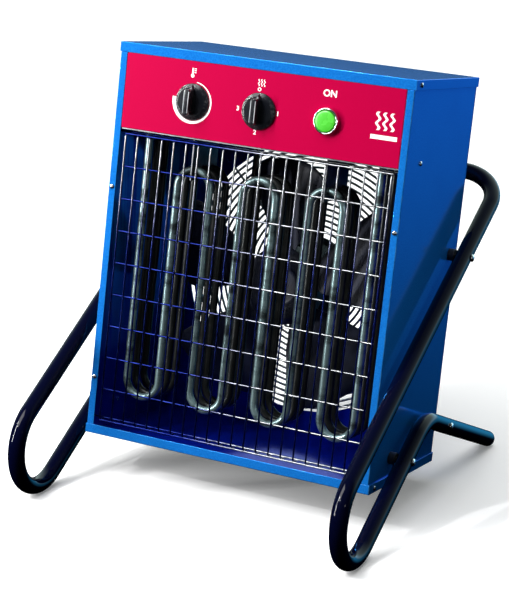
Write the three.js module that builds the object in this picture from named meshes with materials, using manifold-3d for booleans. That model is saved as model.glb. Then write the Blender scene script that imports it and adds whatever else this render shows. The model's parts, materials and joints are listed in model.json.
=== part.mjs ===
// Forced air heater on a bent tube stand. A folded sheet steel casing holds a control box at the
// top and an air duct below it: an axial fan at the back blows through three rows of tubular
// heating elements and out of a wire grille. One bent tube carries the casing, stands on the floor
// in front and behind, and is the carrying handle.
//
// Millimetres. Casing coordinates: X to the right as seen from the front, Y from the front face to
// the back, Z up the casing, from the foot of the front face. The casing leans back on its stand,
// and the finished heater stands on Z = 0 with its footprint centred on the origin.
import * as THREE from 'three';
import { mergeVertices } from 'three/addons/utils/BufferGeometryUtils.js';
import Module from 'manifold-3d';

const wasm = await Module();
wasm.setup();

// ---------------------------------------------------------------- driving dimensions: casing
const CASE_W = 350;
const CASE_D = 197;
const CASE_H = 444;
const SHEET = 1.2; // sheet steel of every folded panel
const FIT = 0.3; // gap between pieces that lie against each other
const LID_FLANGE = 10.8;
const BASE_FLANGE = 10.5;
const FRONT_FLANGE = 8; // side panel's front fold, from its outer face
const REAR_FLANGE = 12;
const CONTROL_BOX_H = 93.7; // from the fascia's lower edge to the top of the lid
const BOX_FLOOR_FLANGE = 14;
const FASCIA_FOLD = 10;

// ---------------------------------------------------------------- driving dimensions: controls
const CONTROL_PITCH = 80;
const CONTROL_UP = 38.7; // control axes above the fascia's lower edge
const KNOB_R = 20;
const KNOB_FACE_R = 15.5; // where the skirt's bevel starts
const SKIRT_H = 3.4;
const SKIRT_RIM = 1.1; // straight part of the skirt's edge
const KNOB_GAP = 0.6; // knob clear of the fascia
const GRIP_W = 7;
const GRIP_L = 28;
const GRIP_H = 13;
const NOSE_H = 5;
const NOSE_REACH = 19.2;
const SPINDLE_R = 3;
const SPINDLE_IN = 14; // spindle's length inside its switch
const THERMOSTAT_BOX = [46, 34, 46];
const SELECTOR_BOX = [44, 56, 44];
const BUTTON_R = 11.4;
const BUTTON_FACE_R = 8.6; // where the cap's face starts to round off
const BUTTON_ROUND = 1.2; // how far the cap's rim lies below its face
const BUTTON_GAP = 0.7; // cap clear of the bezel's wall
const BUTTON_PROUD = 1.3; // cap's rim beyond the bezel
const BUTTON_TRAVEL = 2.5;
const BEZEL_R = 14.5;
const BEZEL_H = 5.5;
const BARREL_R = 11;
const BARREL_IN = 12; // barrel's length behind the fascia
const PLUNGER_R = 7.6;
const CONTACT_BOX = [30, 34, 40];

// ---------------------------------------------------------------- driving dimensions: air duct
const WIRE = 2; // front grille wire
const WIRE_PITCH_X = 15.1;
const WIRE_PITCH_Z = 36.3;
const GRILLE_GAP_X = 7; // outermost wires to the opening's edges
const GRILLE_GAP_Z = 6.5;
const GRILLE_SET_BACK = 0.2;
const GRILLE_RETURN = 12; // wire ends bent back into the duct
const WELD = 0.4; // how far wires welded across each other sink in
const RETURN_EVERY = 7; // every seventh upright is bent back to a tie wire
const ELEMENT_R = 4.25;
const ELEMENT_PITCH = 40;
const ELEMENT_SIDE_GAP = 25;
const ELEMENT_ROWS = ['front', 'middle', 'rear'];
const ELEMENT_FRONT_Y = 23;
const ELEMENT_ROW_PITCH = 20;
const ELEMENT_TOP_GAP = 35.8; // box floor's underside to the upper bends' centre line
const ELEMENT_BASE_GAP = 36.75; // base flange's edge to the lower bends' centre line
const COLLAR_R = 7;
const COLLAR_H = 4;
const TERMINAL_R = 2;
const TERMINAL_H = 12;
const HANGER_T = 1.5;
const HANGER_EDGE = 7; // hanger's material round its outermost holes
const HANGER_FRONT_GAP = 1; // hanger behind the grille's tie wires
const HANGER_CLEAR = 0.6;

const FAN_RISE = 7.4; // fan axis above the middle of the duct
const INTAKE_MARGIN = 1.8; // intake hole to the box floor
const FAN_INSET = 15; // blade tips inside the intake hole
const HUB_R = 45;
const HUB_LEN = 30;
const HUB_FACE_R = 38;
const HUB_BEVEL = 6;
const HUB_GAP = 8; // hub clear of the motor
const BLADES = 5;
const BLADE_PHASE = 4; // degrees that the first blade leans to the left at rest
const BLADE_T = 1.6;
const BLADE_PITCH = -28; // degrees out of the fan's plane, left edge to the back
const BLADE_ROOT = 20; // degrees from the blade's middle to either end of its root
const BLADE_SINK = 6.4; // root's depth inside the hub
const BLADE_OUTLINE = [ // degrees from the blade's middle, share of the fan's radius
  [26, 0.5], [26, 0.75], [25, 0.92], [18, 1], [6, 1],
  [-6, 1], [-18, 1], [-25, 0.92], [-26, 0.75], [-26, 0.5],
];
const SHAFT_R = 4;
const SHAFT_IN = 20; // inside the motor
const SHAFT_HUB = 27; // inside the hub
const MOTOR_R = 45;
const MOTOR_LEN = 56;
const MOTOR_FACE_R = 40.5;
const MOTOR_BEVEL = 4;
const MOTOR_BOSS_R = 16;
const MOTOR_BOSS_H = 4;
const GUARD_WIRE = 3;
const GUARD_RING_PITCH = 6.7;
const GUARD_OVERLAP = 3; // outer ring beyond the intake hole
const GUARD_PLATE_R = 50;
const GUARD_PLATE_T = 2;
const EAR_OUT = 9; // ear's screw beyond the outer ring
const EAR_R = 6;

// ---------------------------------------------------------------- driving dimensions: inside
const CONTACTOR_BOX = [45, 75, 72];
const CONTACTOR_X = 62;
const BOX_REAR_GAP = 20; // contactor and terminals clear of the rear folds
const TERMINAL_BLOCK = [48, 28, 22];
const TERMINAL_BLOCK_X = 128;
const CUTOUT_R = 8;
const CUTOUT_H = 11;
const CUTOUT_CAP_R = 4.8;
const CUTOUT_RIM_H = 6.6;
const CUTOUT_X = -55;
const CUTOUT_Y = 105;
const CAPILLARY_R = 1.2;
const BULB_R = 4;
const BULB_LEN = 60;
const BULB_DROP = 18; // bulb's upper end below the box floor
const SENSOR_REAR_GAP = 14;
const SENSOR_BEND_R = 8;
const GLAND_R = 13;
const GLAND_BARREL_R = 10;
const GLAND_BORE_R = 6.5;
const GLAND_OUT = 20;
const GLAND_NUT = 12; // straight part outside the panel
const GLAND_IN = 10;
const GLAND_X = 128;
const GLAND_UP = 47; // above the box floor

// ---------------------------------------------------------------- driving dimensions: stand
const TUBE_R = 9.5;
const TUBE_WALL = 1.5;
const BEND_R = 50; // every bend's centre line
const SPACER_LEN = 7.7;
const SPACER_R = 7;
const ARM_ANGLE = 37.57; // degrees above the casing's depth
const UPPER_ARM_OFF = 90.91; // upper arm's distance from the foot of the front face
const FRONT_REACH = 106.3; // front bend's foremost point, along the arm from that foot
const HANDLE_REACH = 422.4; // handle's centre line, along the upper arm from that foot
const TAIL_START = 125.3; // corner of lower arm and tail, along the lower arm from that foot
const TAIL_ANGLE = 15.48; // degrees below the casing's depth
const TAIL_LEN = 248;
const UPPER_BOLT = 284.3; // along the upper arm
const LOWER_BOLT = 62.9; // along the lower arm
const TAIL_BOLT = 68.5; // along the tail from its corner
const PLUG_RIM = 2;
const PLUG_DOME = 4;
const DOME_OUTLINE = [[0.92, 0.39], [0.7, 0.71], [0.38, 0.92]]; // shares of radius and height
const PLUG_STUB = 12;

// ---------------------------------------------------------------- driving dimensions: fasteners
const HEAD_RIM = 0.4; // shares of a head's height and radius
const HEAD_CROWN = [0.65, 0.9];
const SCREW_HEAD_R = 2.75;
const SCREW_HEAD_H = 1.8;
const SCREW_R = 1.5;
const SCREW_LEN = 7;
const BOLT_HEAD_R = 4.4;
const BOLT_HEAD_H = 2.6;
const BOLT_R = 2.5;
const BOLT_END = 6; // bolt's length inside the side panel
const FLANGE_SCREW_HEIGHTS = [66, 283.5];
const CORNER_SCREW_Y = 14;
const CORNER_SCREW_EDGE = 5.5; // lid and base side screws, from the casing's top and foot
const FLOOR_SCREW_Y = 41.5;
const FLOOR_SCREW_UP = 5; // above the box floor

// ---------------------------------------------------------------- where the panels lie
const CASE_HALF = CASE_W / 2;
const PANEL_OUT = CASE_HALF - SHEET - FIT; // side panel's outer face
const PANEL_IN = PANEL_OUT - SHEET;
const FLANGE_IN = PANEL_OUT - FRONT_FLANGE; // edge of the front opening
const LID_EDGE = CASE_H - LID_FLANGE;
const REAR_OUT = CASE_D - SHEET - FIT; // rear panel's outer face
const REAR_IN = REAR_OUT - SHEET;
const SIDE_BACK = REAR_IN - FIT; // side panel's rear fold, its outer face
const FASCIA_EDGE = CASE_H - CONTROL_BOX_H; // fascia's lower edge, top of the grille opening
const BOX_FLOOR = FASCIA_EDGE - FIT; // control box floor's upper face
const DUCT_TOP = BOX_FLOOR - SHEET;
const CONTROL_Z = FASCIA_EDGE + CONTROL_UP;

const FAN_Z = (BASE_FLANGE + DUCT_TOP) / 2 + FAN_RISE;
const INTAKE_R = Math.min(DUCT_TOP - FAN_Z - INTAKE_MARGIN, PANEL_IN - REAR_FLANGE - FIT);
const FAN_R = INTAKE_R - FAN_INSET;
const GUARD_R = INTAKE_R + GUARD_OVERLAP;
const MOTOR_FRONT = REAR_OUT - MOTOR_LEN;
const HUB_BACK = MOTOR_FRONT - HUB_GAP;
const HUB_MID = HUB_BACK - HUB_LEN / 2;

// ---------------------------------------------------------------- finishes
function finish(colour, roughness, metalness = 0) {
  return new THREE.MeshStandardMaterial({ color: colour, roughness, metalness });
}

const BLUE_PAINT = finish(0x1560b8, 0.32);
const CRIMSON = finish(0xc8093f, 0.35);
const TUBE_PAINT = finish(0x070a1c, 0.15);
const WIRE_STEEL = finish(0xb9bdc6, 0.3, 0.9);
const BRIGHT_STEEL = finish(0xc9ccd2, 0.25, 1);
const ELEMENT_STEEL = finish(0x39423f, 0.45, 0.7);
const ZINC = finish(0x9ba0a6, 0.4, 0.9);
const BLACK_PLASTIC = finish(0x0b0b0d, 0.4);
const GREY_PLASTIC = finish(0x8a8d90, 0.5);
const CREAM_PLASTIC = finish(0xd8d2c0, 0.5);
const GREEN_PLASTIC = finish(0x3fc23a, 0.3);
const CHROME = finish(0xe4e6ea, 0.12, 1);
const BLADE_METAL = finish(0x15181c, 0.5, 0.4);
const MOTOR_PAINT = finish(0x1c1e22, 0.5, 0.3);

// ---------------------------------------------------------------- solids
const ROUND = 20; // sides of a part that shows as round
const HOLE = 8; // sides of a fastener and of its hole
const TUBE_SIDES = 12;
const BORE_SIDES = 6;
const THIN_SIDES = 6; // element tube and capillary
const STAND_BEND_STEP = 18; // degrees between stations in a bend
const ELEMENT_BEND_STEP = 30;
const CAPILLARY_BEND_STEP = 22.5;
const WELD_TOLERANCE = 1e-4;

// A box from [low, high] pairs, which may be given in either order.
function box(x, y, z) {
  const size = [x, y, z].map(([a, b]) => Math.abs(b - a));
  const middle = [x, y, z].map(([a, b]) => (a + b) / 2);
  return new THREE.BoxGeometry(...size).translate(...middle);
}

// Turns a shape made round the Y axis so that its axis lies along X or Z.
function laid(geometry, axis) {
  if (axis === 'x') geometry.rotateZ(-Math.PI / 2);
  if (axis === 'z') geometry.rotateX(Math.PI / 2);
  return geometry;
}

// A rod along X, Y or Z with its middle at a point.
function rod(axis, radius, length, [x, y, z], sides = HOLE) {
  return laid(new THREE.CylinderGeometry(radius, radius, length, sides), axis).translate(x, y, z);
}

// A body turned about the Y axis from [radius, y] points.
function turned(profile, sides = ROUND) {
  return new THREE.LatheGeometry(profile.map(([r, y]) => new THREE.Vector2(r, y)), sides);
}

function polygon(radius, sides) {
  const points = [];
  for (let i = 0; i < sides; i += 1) {
    const angle = (2 * Math.PI * i) / sides;
    points.push(new THREE.Vector2(radius * Math.cos(angle), radius * Math.sin(angle)));
  }
  return new THREE.Shape(points);
}

// Shared vertices only, and no triangle that has shrunk to a line at a pole.
function welded(geometry) {
  const bare = new THREE.BufferGeometry();
  bare.setAttribute('position', geometry.getAttribute('position'));
  bare.setIndex(geometry.getIndex());
  const merged = mergeVertices(bare, WELD_TOLERANCE);
  const corners = merged.getIndex().array;
  const kept = [];
  for (let i = 0; i < corners.length; i += 3) {
    const [a, b, c] = corners.slice(i, i + 3);
    if (a !== b && b !== c && c !== a) kept.push(a, b, c);
  }
  merged.setIndex(kept);
  return merged;
}

function manifold(geometry) {
  const closed = welded(geometry);
  return new wasm.Manifold(new wasm.Mesh({
    numProp: 3,
    vertProperties: closed.getAttribute('position').array,
    triVerts: Uint32Array.from(closed.getIndex().array),
  }));
}

function geometryOf(solid) {
  const mesh = solid.getMesh();
  const geometry = new THREE.BufferGeometry();
  geometry.setAttribute('position', new THREE.BufferAttribute(mesh.vertProperties, 3));
  geometry.setIndex(new THREE.BufferAttribute(mesh.triVerts, 1));
  geometry.computeVertexNormals();
  return geometry;
}

// Joins the first list of shapes into one solid and cuts the second list out of it.
function joined(shapes, cuts = []) {
  let solid = manifold(shapes[0]);
  for (const shape of shapes.slice(1)) solid = solid.add(manifold(shape));
  for (const cut of cuts) solid = solid.subtract(manifold(cut));
  return geometryOf(solid);
}

// A bent tube's centre line: straight runs between corners, each corner rounded to one radius.
// It is held as the stations where the tube's section is drawn.
class BentLine extends THREE.Curve {
  constructor(corners, radius, stepDegrees) {
    super();
    this.stations = [];
    const last = corners.length - 1;
    const start = corners[1].clone().sub(corners[0]).normalize();
    const end = corners[last].clone().sub(corners[last - 1]).normalize();
    this.addStation(corners[0], start);
    for (let i = 1; i < last; i += 1) {
      this.addBend(corners[i - 1], corners[i], corners[i + 1], radius, stepDegrees);
    }
    this.addStation(corners[last], end);
  }

  addStation(point, tangent) {
    const previous = this.stations.at(-1);
    if (previous && previous.point.distanceTo(point) < WELD_TOLERANCE) return;
    this.stations.push({ point: point.clone(), tangent: tangent.clone() });
  }

  addBend(before, corner, after, radius, stepDegrees) {
    const into = corner.clone().sub(before).normalize();
    const out = after.clone().sub(corner).normalize();
    const turn = into.angleTo(out);
    const side = out.clone().addScaledVector(into, -Math.cos(turn)).normalize();
    const first = corner.clone().addScaledVector(into, -radius * Math.tan(turn / 2));
    const centre = first.clone().addScaledVector(side, radius);
    const steps = Math.ceil(THREE.MathUtils.radToDeg(turn) / stepDegrees - WELD_TOLERANCE);
    for (let i = 0; i <= steps; i += 1) {
      const angle = (turn * i) / steps;
      const point = centre.clone()
        .addScaledVector(side, -radius * Math.cos(angle))
        .addScaledVector(into, radius * Math.sin(angle));
      const tangent = into.clone().multiplyScalar(Math.cos(angle))
        .addScaledVector(side, Math.sin(angle));
      this.addStation(point, tangent);
    }
  }

  get steps() {
    return this.stations.length - 1;
  }

  getPointAt(u) {
    return this.stations[Math.round(u * this.steps)].point.clone();
  }

  getTangentAt(u) {
    return this.stations[Math.round(u * this.steps)].tangent.clone();
  }
}

function tube(line, radius, sides, boreRadius = 0) {
  const section = polygon(radius, sides);
  if (boreRadius) section.holes.push(polygon(boreRadius, BORE_SIDES));
  return new THREE.ExtrudeGeometry(section, {
    steps: line.steps,
    extrudePath: line,
    bevelEnabled: false,
  });
}

const heater = new THREE.Group();

function piece(name, geometry, material) {
  const mesh = new THREE.Mesh(geometry, material);
  mesh.name = name;
  heater.add(mesh);
  return mesh;
}

const SIDES = [['left', -1], ['right', 1]];

// ---------------------------------------------------------------- stand tube's centre line
const armAngle = THREE.MathUtils.degToRad(ARM_ANGLE);
const tailAngle = THREE.MathUtils.degToRad(TAIL_ANGLE);
const LOWER_ARM_OFF = UPPER_ARM_OFF - 2 * BEND_R;
const STAND_X = PANEL_OUT + FIT + SPACER_LEN + FIT + TUBE_R;

// A point of the stand in the casing's side view, from its distance across and along the arms.
function armPoint(off, along) {
  return {
    y: along * Math.cos(armAngle) - off * Math.sin(armAngle),
    z: along * Math.sin(armAngle) + off * Math.cos(armAngle),
  };
}

function tailPoint(along) {
  const corner = armPoint(LOWER_ARM_OFF, TAIL_START);
  return {
    y: corner.y + along * Math.cos(tailAngle),
    z: corner.z - along * Math.sin(tailAngle),
  };
}

const STAND_BOLTS = [
  ['upper', armPoint(UPPER_ARM_OFF, UPPER_BOLT)],
  ['lower', armPoint(LOWER_ARM_OFF, LOWER_BOLT)],
  ['tail', tailPoint(TAIL_BOLT)],
];

// The casing leans back until the front bends and the tail plugs stand on the same level.
function leanAngle() {
  const bend = armPoint(UPPER_ARM_OFF - BEND_R, BEND_R - FRONT_REACH);
  const end = tailPoint(TAIL_LEN + FIT + PLUG_RIM);
  const run = Math.hypot(end.y - bend.y, end.z - bend.z);
  const rise = Math.atan2(end.z - bend.z, end.y - bend.y);
  let lean = 0;
  for (let i = 0; i < 12; i += 1) {
    const slope = tailAngle + lean;
    const plugDrop = Math.hypot(TUBE_R * Math.cos(slope), PLUG_DOME * Math.sin(slope));
    lean = Math.asin((BEND_R + TUBE_R - plugDrop) / run) + rise;
  }
  return lean;
}

// ---------------------------------------------------------------- screw and bolt places
// Each place: the piece's name, the point on the outer face, and where its head points.
const FRONT = new THREE.Vector3(0, -1, 0);
const BACK = new THREE.Vector3(0, 1, 0);
const flangeScrews = [];
const sideScrews = [];
for (const [side, sign] of SIDES) {
  const outward = new THREE.Vector3(sign, 0, 0);
  const flangeX = sign * (PANEL_OUT + FLANGE_IN) / 2;
  for (const [i, z] of FLANGE_SCREW_HEIGHTS.entries()) {
    const level = i ? 'upper' : 'lower';
    flangeScrews.push([`${side}_${level}_flange_screw`, [flangeX, 0, z], FRONT, sign]);
  }
  const lidZ = CASE_H - CORNER_SCREW_EDGE;
  sideScrews.push([`${side}_lid_screw`, [sign * CASE_HALF, CORNER_SCREW_Y, lidZ], outward, sign]);
  sideScrews.push([
    `${side}_base_screw`,
    [sign * CASE_HALF, CORNER_SCREW_Y, CORNER_SCREW_EDGE],
    outward,
    sign,
  ]);
  sideScrews.push([
    `${side}_floor_screw`,
    [sign * PANEL_OUT, FLOOR_SCREW_Y, BOX_FLOOR + FLOOR_SCREW_UP],
    outward,
    sign,
  ]);
}
const guardScrews = [];
const GUARD_SCREW_R = GUARD_R + EAR_OUT;
for (const [name, angle] of [['upper_right', 45], ['upper_left', 135],
  ['lower_left', 225], ['lower_right', 315]]) {
  const turn = THREE.MathUtils.degToRad(angle);
  guardScrews.push({
    name: `${name}_guard_screw`,
    turn,
    x: GUARD_SCREW_R * Math.cos(turn),
    z: FAN_Z + GUARD_SCREW_R * Math.sin(turn),
  });
}

const SCREW_HOLE_R = SCREW_R + FIT;
const BOLT_HOLE_R = BOLT_R + FIT;

function holesAlongX(places, length = 4 * LID_FLANGE) {
  return places.map(([, point]) => rod('x', SCREW_HOLE_R, length, point));
}

// ---------------------------------------------------------------- casing panels
// The lid and the base are trays, folded on four sides; direction is 1 for the lid's plate on top.
function tray(plateZ, direction, depth) {
  const plate = plateZ - direction * SHEET;
  const edge = plateZ - direction * depth;
  const outer = box([-CASE_HALF, CASE_HALF], [0, CASE_D], [plateZ, edge]);
  const hollow = box(
    [SHEET - CASE_HALF, CASE_HALF - SHEET],
    [SHEET, CASE_D - SHEET],
    [plate, edge - direction * SHEET],
  );
  const near = sideScrews.filter(([, [, , z]]) => (z - plateZ) * (z - edge) < 0);
  return joined([outer], [hollow, ...holesAlongX(near)]);
}

piece('top_cover', tray(CASE_H, 1, LID_FLANGE), BLUE_PAINT);
piece('bottom_cover', tray(0, -1, BASE_FLANGE), BLUE_PAINT);

function sidePanel(sign) {
  const plate = [sign * PANEL_IN, sign * PANEL_OUT];
  const low = BASE_FLANGE + FIT;
  const high = LID_EDGE - FIT;
  const shapes = [
    box(plate, [SHEET + FIT, SIDE_BACK], [SHEET + FIT, CASE_H - SHEET - FIT]),
    box(plate, [0, 2 * SHEET], [low, high]),
    box([sign * FLANGE_IN, sign * PANEL_OUT], [0, SHEET], [low, high]),
    box(
      [sign * (PANEL_IN - REAR_FLANGE), sign * PANEL_OUT],
      [SIDE_BACK - SHEET, SIDE_BACK],
      [SHEET + FIT, CASE_H - SHEET - FIT],
    ),
  ];
  const cuts = [
    ...holesAlongX(sideScrews.filter((place) => place[3] === sign)),
    ...flangeScrews.filter((place) => place[3] === sign)
      .map(([, point]) => rod('y', SCREW_HOLE_R, 4 * SHEET, point)),
    ...STAND_BOLTS.map(([, { y, z }]) => (
      rod('x', BOLT_HOLE_R, 4 * SHEET, [sign * (PANEL_IN + SHEET / 2), y, z])
    )),
  ];
  return joined(shapes, cuts);
}

for (const [side, sign] of SIDES) piece(`${side}_side_panel`, sidePanel(sign), BLUE_PAINT);

const GLAND_Z = BOX_FLOOR + GLAND_UP;
const rearPanel = joined(
  [box([-PANEL_OUT, PANEL_OUT], [REAR_IN, REAR_OUT], [SHEET + FIT, CASE_H - SHEET - FIT])],
  [
    rod('y', INTAKE_R, 4 * SHEET, [0, REAR_IN, FAN_Z], 2 * ROUND),
    rod('y', GLAND_BARREL_R + FIT, 4 * SHEET, [GLAND_X, REAR_IN, GLAND_Z], ROUND),
    ...guardScrews.map(({ x, z }) => rod('y', SCREW_HOLE_R, 4 * SHEET, [x, REAR_IN, z])),
  ],
);
piece('rear_panel', rearPanel, BLUE_PAINT);

// ---------------------------------------------------------------- control box
const FASCIA_HALF = FLANGE_IN - FIT;
const FASCIA_TOP = LID_EDGE - FIT;
const CONTROLS_X = [-CONTROL_PITCH, 0, CONTROL_PITCH];
const fascia = joined(
  [box([-FASCIA_HALF, FASCIA_HALF], [0, SHEET + FASCIA_FOLD], [FASCIA_EDGE, FASCIA_TOP])],
  [
    box(
      [SHEET - FASCIA_HALF, FASCIA_HALF - SHEET],
      [SHEET, 2 * FASCIA_FOLD],
      [FASCIA_EDGE + SHEET, FASCIA_TOP - SHEET],
    ),
    rod('y', SPINDLE_R + KNOB_GAP, 4 * SHEET, [CONTROLS_X[0], 0, CONTROL_Z]),
    rod('y', SPINDLE_R + KNOB_GAP, 4 * SHEET, [CONTROLS_X[1], 0, CONTROL_Z]),
    rod('y', BARREL_R + FIT, 4 * SHEET, [CONTROLS_X[2], 0, CONTROL_Z], ROUND),
  ],
);
piece('control_fascia', fascia, CRIMSON);

const elementLegs = 2 * Math.floor(
  (2 * (PANEL_IN - ELEMENT_SIDE_GAP) + ELEMENT_PITCH) / (2 * ELEMENT_PITCH),
);
const LEG_X = ((elementLegs - 1) * ELEMENT_PITCH) / 2; // the two end legs
const elementRows = ELEMENT_ROWS.map((name, i) => [
  `heating_element_${name}`,
  ELEMENT_FRONT_Y + i * ELEMENT_ROW_PITCH,
]);
const BULB_Y = SIDE_BACK - SENSOR_REAR_GAP;

function boxFloor() {
  const half = PANEL_IN - FIT;
  const shapes = [box([-half, half], [SHEET + FIT, SIDE_BACK - SHEET - FIT], [DUCT_TOP, BOX_FLOOR])];
  for (const [, sign] of SIDES) {
    shapes.push(box(
      [sign * half, sign * (half - SHEET)],
      [SHEET + FIT, SIDE_BACK - SHEET - FIT],
      [DUCT_TOP, BOX_FLOOR + BOX_FLOOR_FLANGE],
    ));
  }
  const cuts = holesAlongX(sideScrews.filter(([name]) => name.endsWith('floor_screw')));
  for (const [, y] of elementRows) {
    for (const x of [-LEG_X, LEG_X]) {
      cuts.push(rod('z', ELEMENT_R + 2 * FIT, 4 * SHEET, [x, y, BOX_FLOOR]));
    }
  }
  cuts.push(rod('z', BULB_R + FIT, 4 * SHEET, [CONTROLS_X[0], BULB_Y, BOX_FLOOR]));
  return joined(shapes, cuts);
}

piece('control_box_floor', boxFloor(), ZINC);

// ---------------------------------------------------------------- knobs, button and switches
// A knob lies with its axis along Y and its face to the front: bevelled skirt, bar grip, pointed
// nose and spindle.
function knob() {
  const back = -KNOB_GAP;
  const face = back - SKIRT_H;
  const skirt = turned([
    [0, face], [KNOB_FACE_R, face], [KNOB_R, back - SKIRT_RIM], [KNOB_R, back],
    [SPINDLE_R, back], [SPINDLE_R, SHEET + FIT + SPINDLE_IN], [0, SHEET + FIT + SPINDLE_IN],
  ]);
  const grip = box([-GRIP_W / 2, GRIP_W / 2], [face + FIT, face - GRIP_H], [-GRIP_L / 2, GRIP_L / 2]);
  const noseShape = new THREE.Shape([
    new THREE.Vector2(-GRIP_W / 2, 0),
    new THREE.Vector2(GRIP_W / 2, 0),
    new THREE.Vector2(GRIP_W / 2, GRIP_L / 2),
    new THREE.Vector2(0, NOSE_REACH),
    new THREE.Vector2(-GRIP_W / 2, GRIP_L / 2),
  ]);
  const nose = new THREE.ExtrudeGeometry(noseShape, { depth: NOSE_H, bevelEnabled: false })
    .rotateX(Math.PI / 2)
    .translate(0, face + FIT, 0);
  return joined([skirt, grip, nose]);
}

function switchBox([w, d, h]) {
  const front = SHEET + FIT;
  return joined(
    [box([-w / 2, w / 2], [front, front + d], [-h / 2, h / 2])],
    [rod('y', SPINDLE_R + FIT, 2 * (SPINDLE_IN + FIT), [0, front, 0])],
  );
}

for (const [name, x, body, bodyBox] of [
  ['thermostat', CONTROLS_X[0], 'thermostat_body', THERMOSTAT_BOX],
  ['selector', CONTROLS_X[1], 'selector_switch_body', SELECTOR_BOX],
]) {
  piece(`${name}_knob`, knob(), BLACK_PLASTIC).position.set(x, 0, CONTROL_Z);
  piece(body, switchBox(bodyBox), GREY_PLASTIC).position.set(x, 0, CONTROL_Z);
}

const CAP_BACK = BUTTON_TRAVEL + 2 * FIT; // cap's underside above the bezel's floor
const BEZEL_FLOOR = -FIT - SHEET;
const buttonBezel = turned([
  [PLUNGER_R + FIT, BEZEL_FLOOR], [BUTTON_R + BUTTON_GAP, BEZEL_FLOOR],
  [BUTTON_R + BUTTON_GAP, -BEZEL_H], [BEZEL_R - SHEET, -BEZEL_H], [BEZEL_R, SHEET - BEZEL_H],
  [BEZEL_R, -FIT], [BARREL_R, -FIT], [BARREL_R, SHEET + BARREL_IN],
  [PLUNGER_R + FIT, SHEET + BARREL_IN], [PLUNGER_R + FIT, BEZEL_FLOOR],
]);
const capFace = -BEZEL_H - BUTTON_PROUD - BUTTON_ROUND / 2;
const buttonCap = turned([
  [0, capFace], [BUTTON_FACE_R, capFace + BUTTON_ROUND / 4],
  [BUTTON_R, capFace + BUTTON_ROUND], [BUTTON_R, BEZEL_FLOOR - CAP_BACK],
  [PLUNGER_R, BEZEL_FLOOR - CAP_BACK], [PLUNGER_R, SHEET + BARREL_IN - BUTTON_TRAVEL - FIT],
  [0, SHEET + BARREL_IN - BUTTON_TRAVEL - FIT],
]);
piece('start_button_bezel', buttonBezel, CHROME).position.set(CONTROLS_X[2], 0, CONTROL_Z);
piece('start_button_cap', buttonCap, GREEN_PLASTIC).position.set(CONTROLS_X[2], 0, CONTROL_Z);

const contactFront = SHEET + BARREL_IN + FIT;
const contactBlock = box(
  [-CONTACT_BOX[0] / 2, CONTACT_BOX[0] / 2],
  [contactFront, contactFront + CONTACT_BOX[1]],
  [-CONTACT_BOX[2] / 2, CONTACT_BOX[2] / 2],
);
piece('start_contact_block', contactBlock, GREY_PLASTIC).position.set(CONTROLS_X[2], 0, CONTROL_Z);

// ---------------------------------------------------------------- inside the control box
function onBoxFloor([w, d, h], x, backY) {
  const foot = BOX_FLOOR + FIT;
  return box([x - w / 2, x + w / 2], [backY - d, backY], [foot, foot + h]);
}

const BOX_BACK_Y = SIDE_BACK - SHEET - BOX_REAR_GAP;
piece('contactor', onBoxFloor(CONTACTOR_BOX, CONTACTOR_X, BOX_BACK_Y), CREAM_PLASTIC);
piece('terminal_block', onBoxFloor(TERMINAL_BLOCK, TERMINAL_BLOCK_X, BOX_BACK_Y), CREAM_PLASTIC);

const cutout = turned([
  [0, 0], [CUTOUT_R, 0], [CUTOUT_R, CUTOUT_RIM_H], [CUTOUT_CAP_R, CUTOUT_H], [0, CUTOUT_H],
], HOLE);
laid(cutout, 'z');
piece('overheat_cutout', cutout, BLACK_PLASTIC).position.set(CUTOUT_X, CUTOUT_Y, BOX_FLOOR + FIT);

// The capillary leaves the thermostat's back, runs to the rear and drops its bulb into the duct.
function sensor() {
  const x = CONTROLS_X[0];
  const bodyBack = SHEET + FIT + THERMOSTAT_BOX[1] + FIT;
  const bulbTop = DUCT_TOP - BULB_DROP;
  const line = new BentLine([
    new THREE.Vector3(x, bodyBack, CONTROL_Z),
    new THREE.Vector3(x, BULB_Y, CONTROL_Z),
    new THREE.Vector3(x, BULB_Y, bulbTop - BULB_R),
  ], SENSOR_BEND_R, CAPILLARY_BEND_STEP);
  const bulb = rod('z', BULB_R, BULB_LEN, [x, BULB_Y, bulbTop - BULB_LEN / 2]);
  return joined([tube(line, CAPILLARY_R, THIN_SIDES), bulb]);
}

piece('thermostat_sensor', sensor(), BRIGHT_STEEL);

// An open gland: flange outside the rear panel, barrel through it, bore for a supply lead.
const gland = turned([
  [GLAND_BORE_R, REAR_OUT + GLAND_OUT], [GLAND_BORE_R, REAR_IN - GLAND_IN],
  [GLAND_BARREL_R, REAR_IN - GLAND_IN], [GLAND_BARREL_R, REAR_OUT + FIT],
  [GLAND_R, REAR_OUT + FIT], [GLAND_R, REAR_OUT + GLAND_NUT],
  [GLAND_BARREL_R, REAR_OUT + GLAND_OUT], [GLAND_BORE_R, REAR_OUT + GLAND_OUT],
], ROUND);
piece('cable_gland', gland, BLACK_PLASTIC).position.set(GLAND_X, 0, GLAND_Z);

// ---------------------------------------------------------------- front grille
// A net of upright and cross wires. Some uprights have both ends bent back into the duct, to two
// tie wires that reach the side panels.
function evenly(low, high, pitch) {
  const gaps = Math.max(1, Math.round((high - low) / pitch));
  return Array.from({ length: gaps + 1 }, (_, i) => low + ((high - low) * i) / gaps);
}

const GRILLE_BACK = GRILLE_SET_BACK + GRILLE_RETURN;

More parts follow.
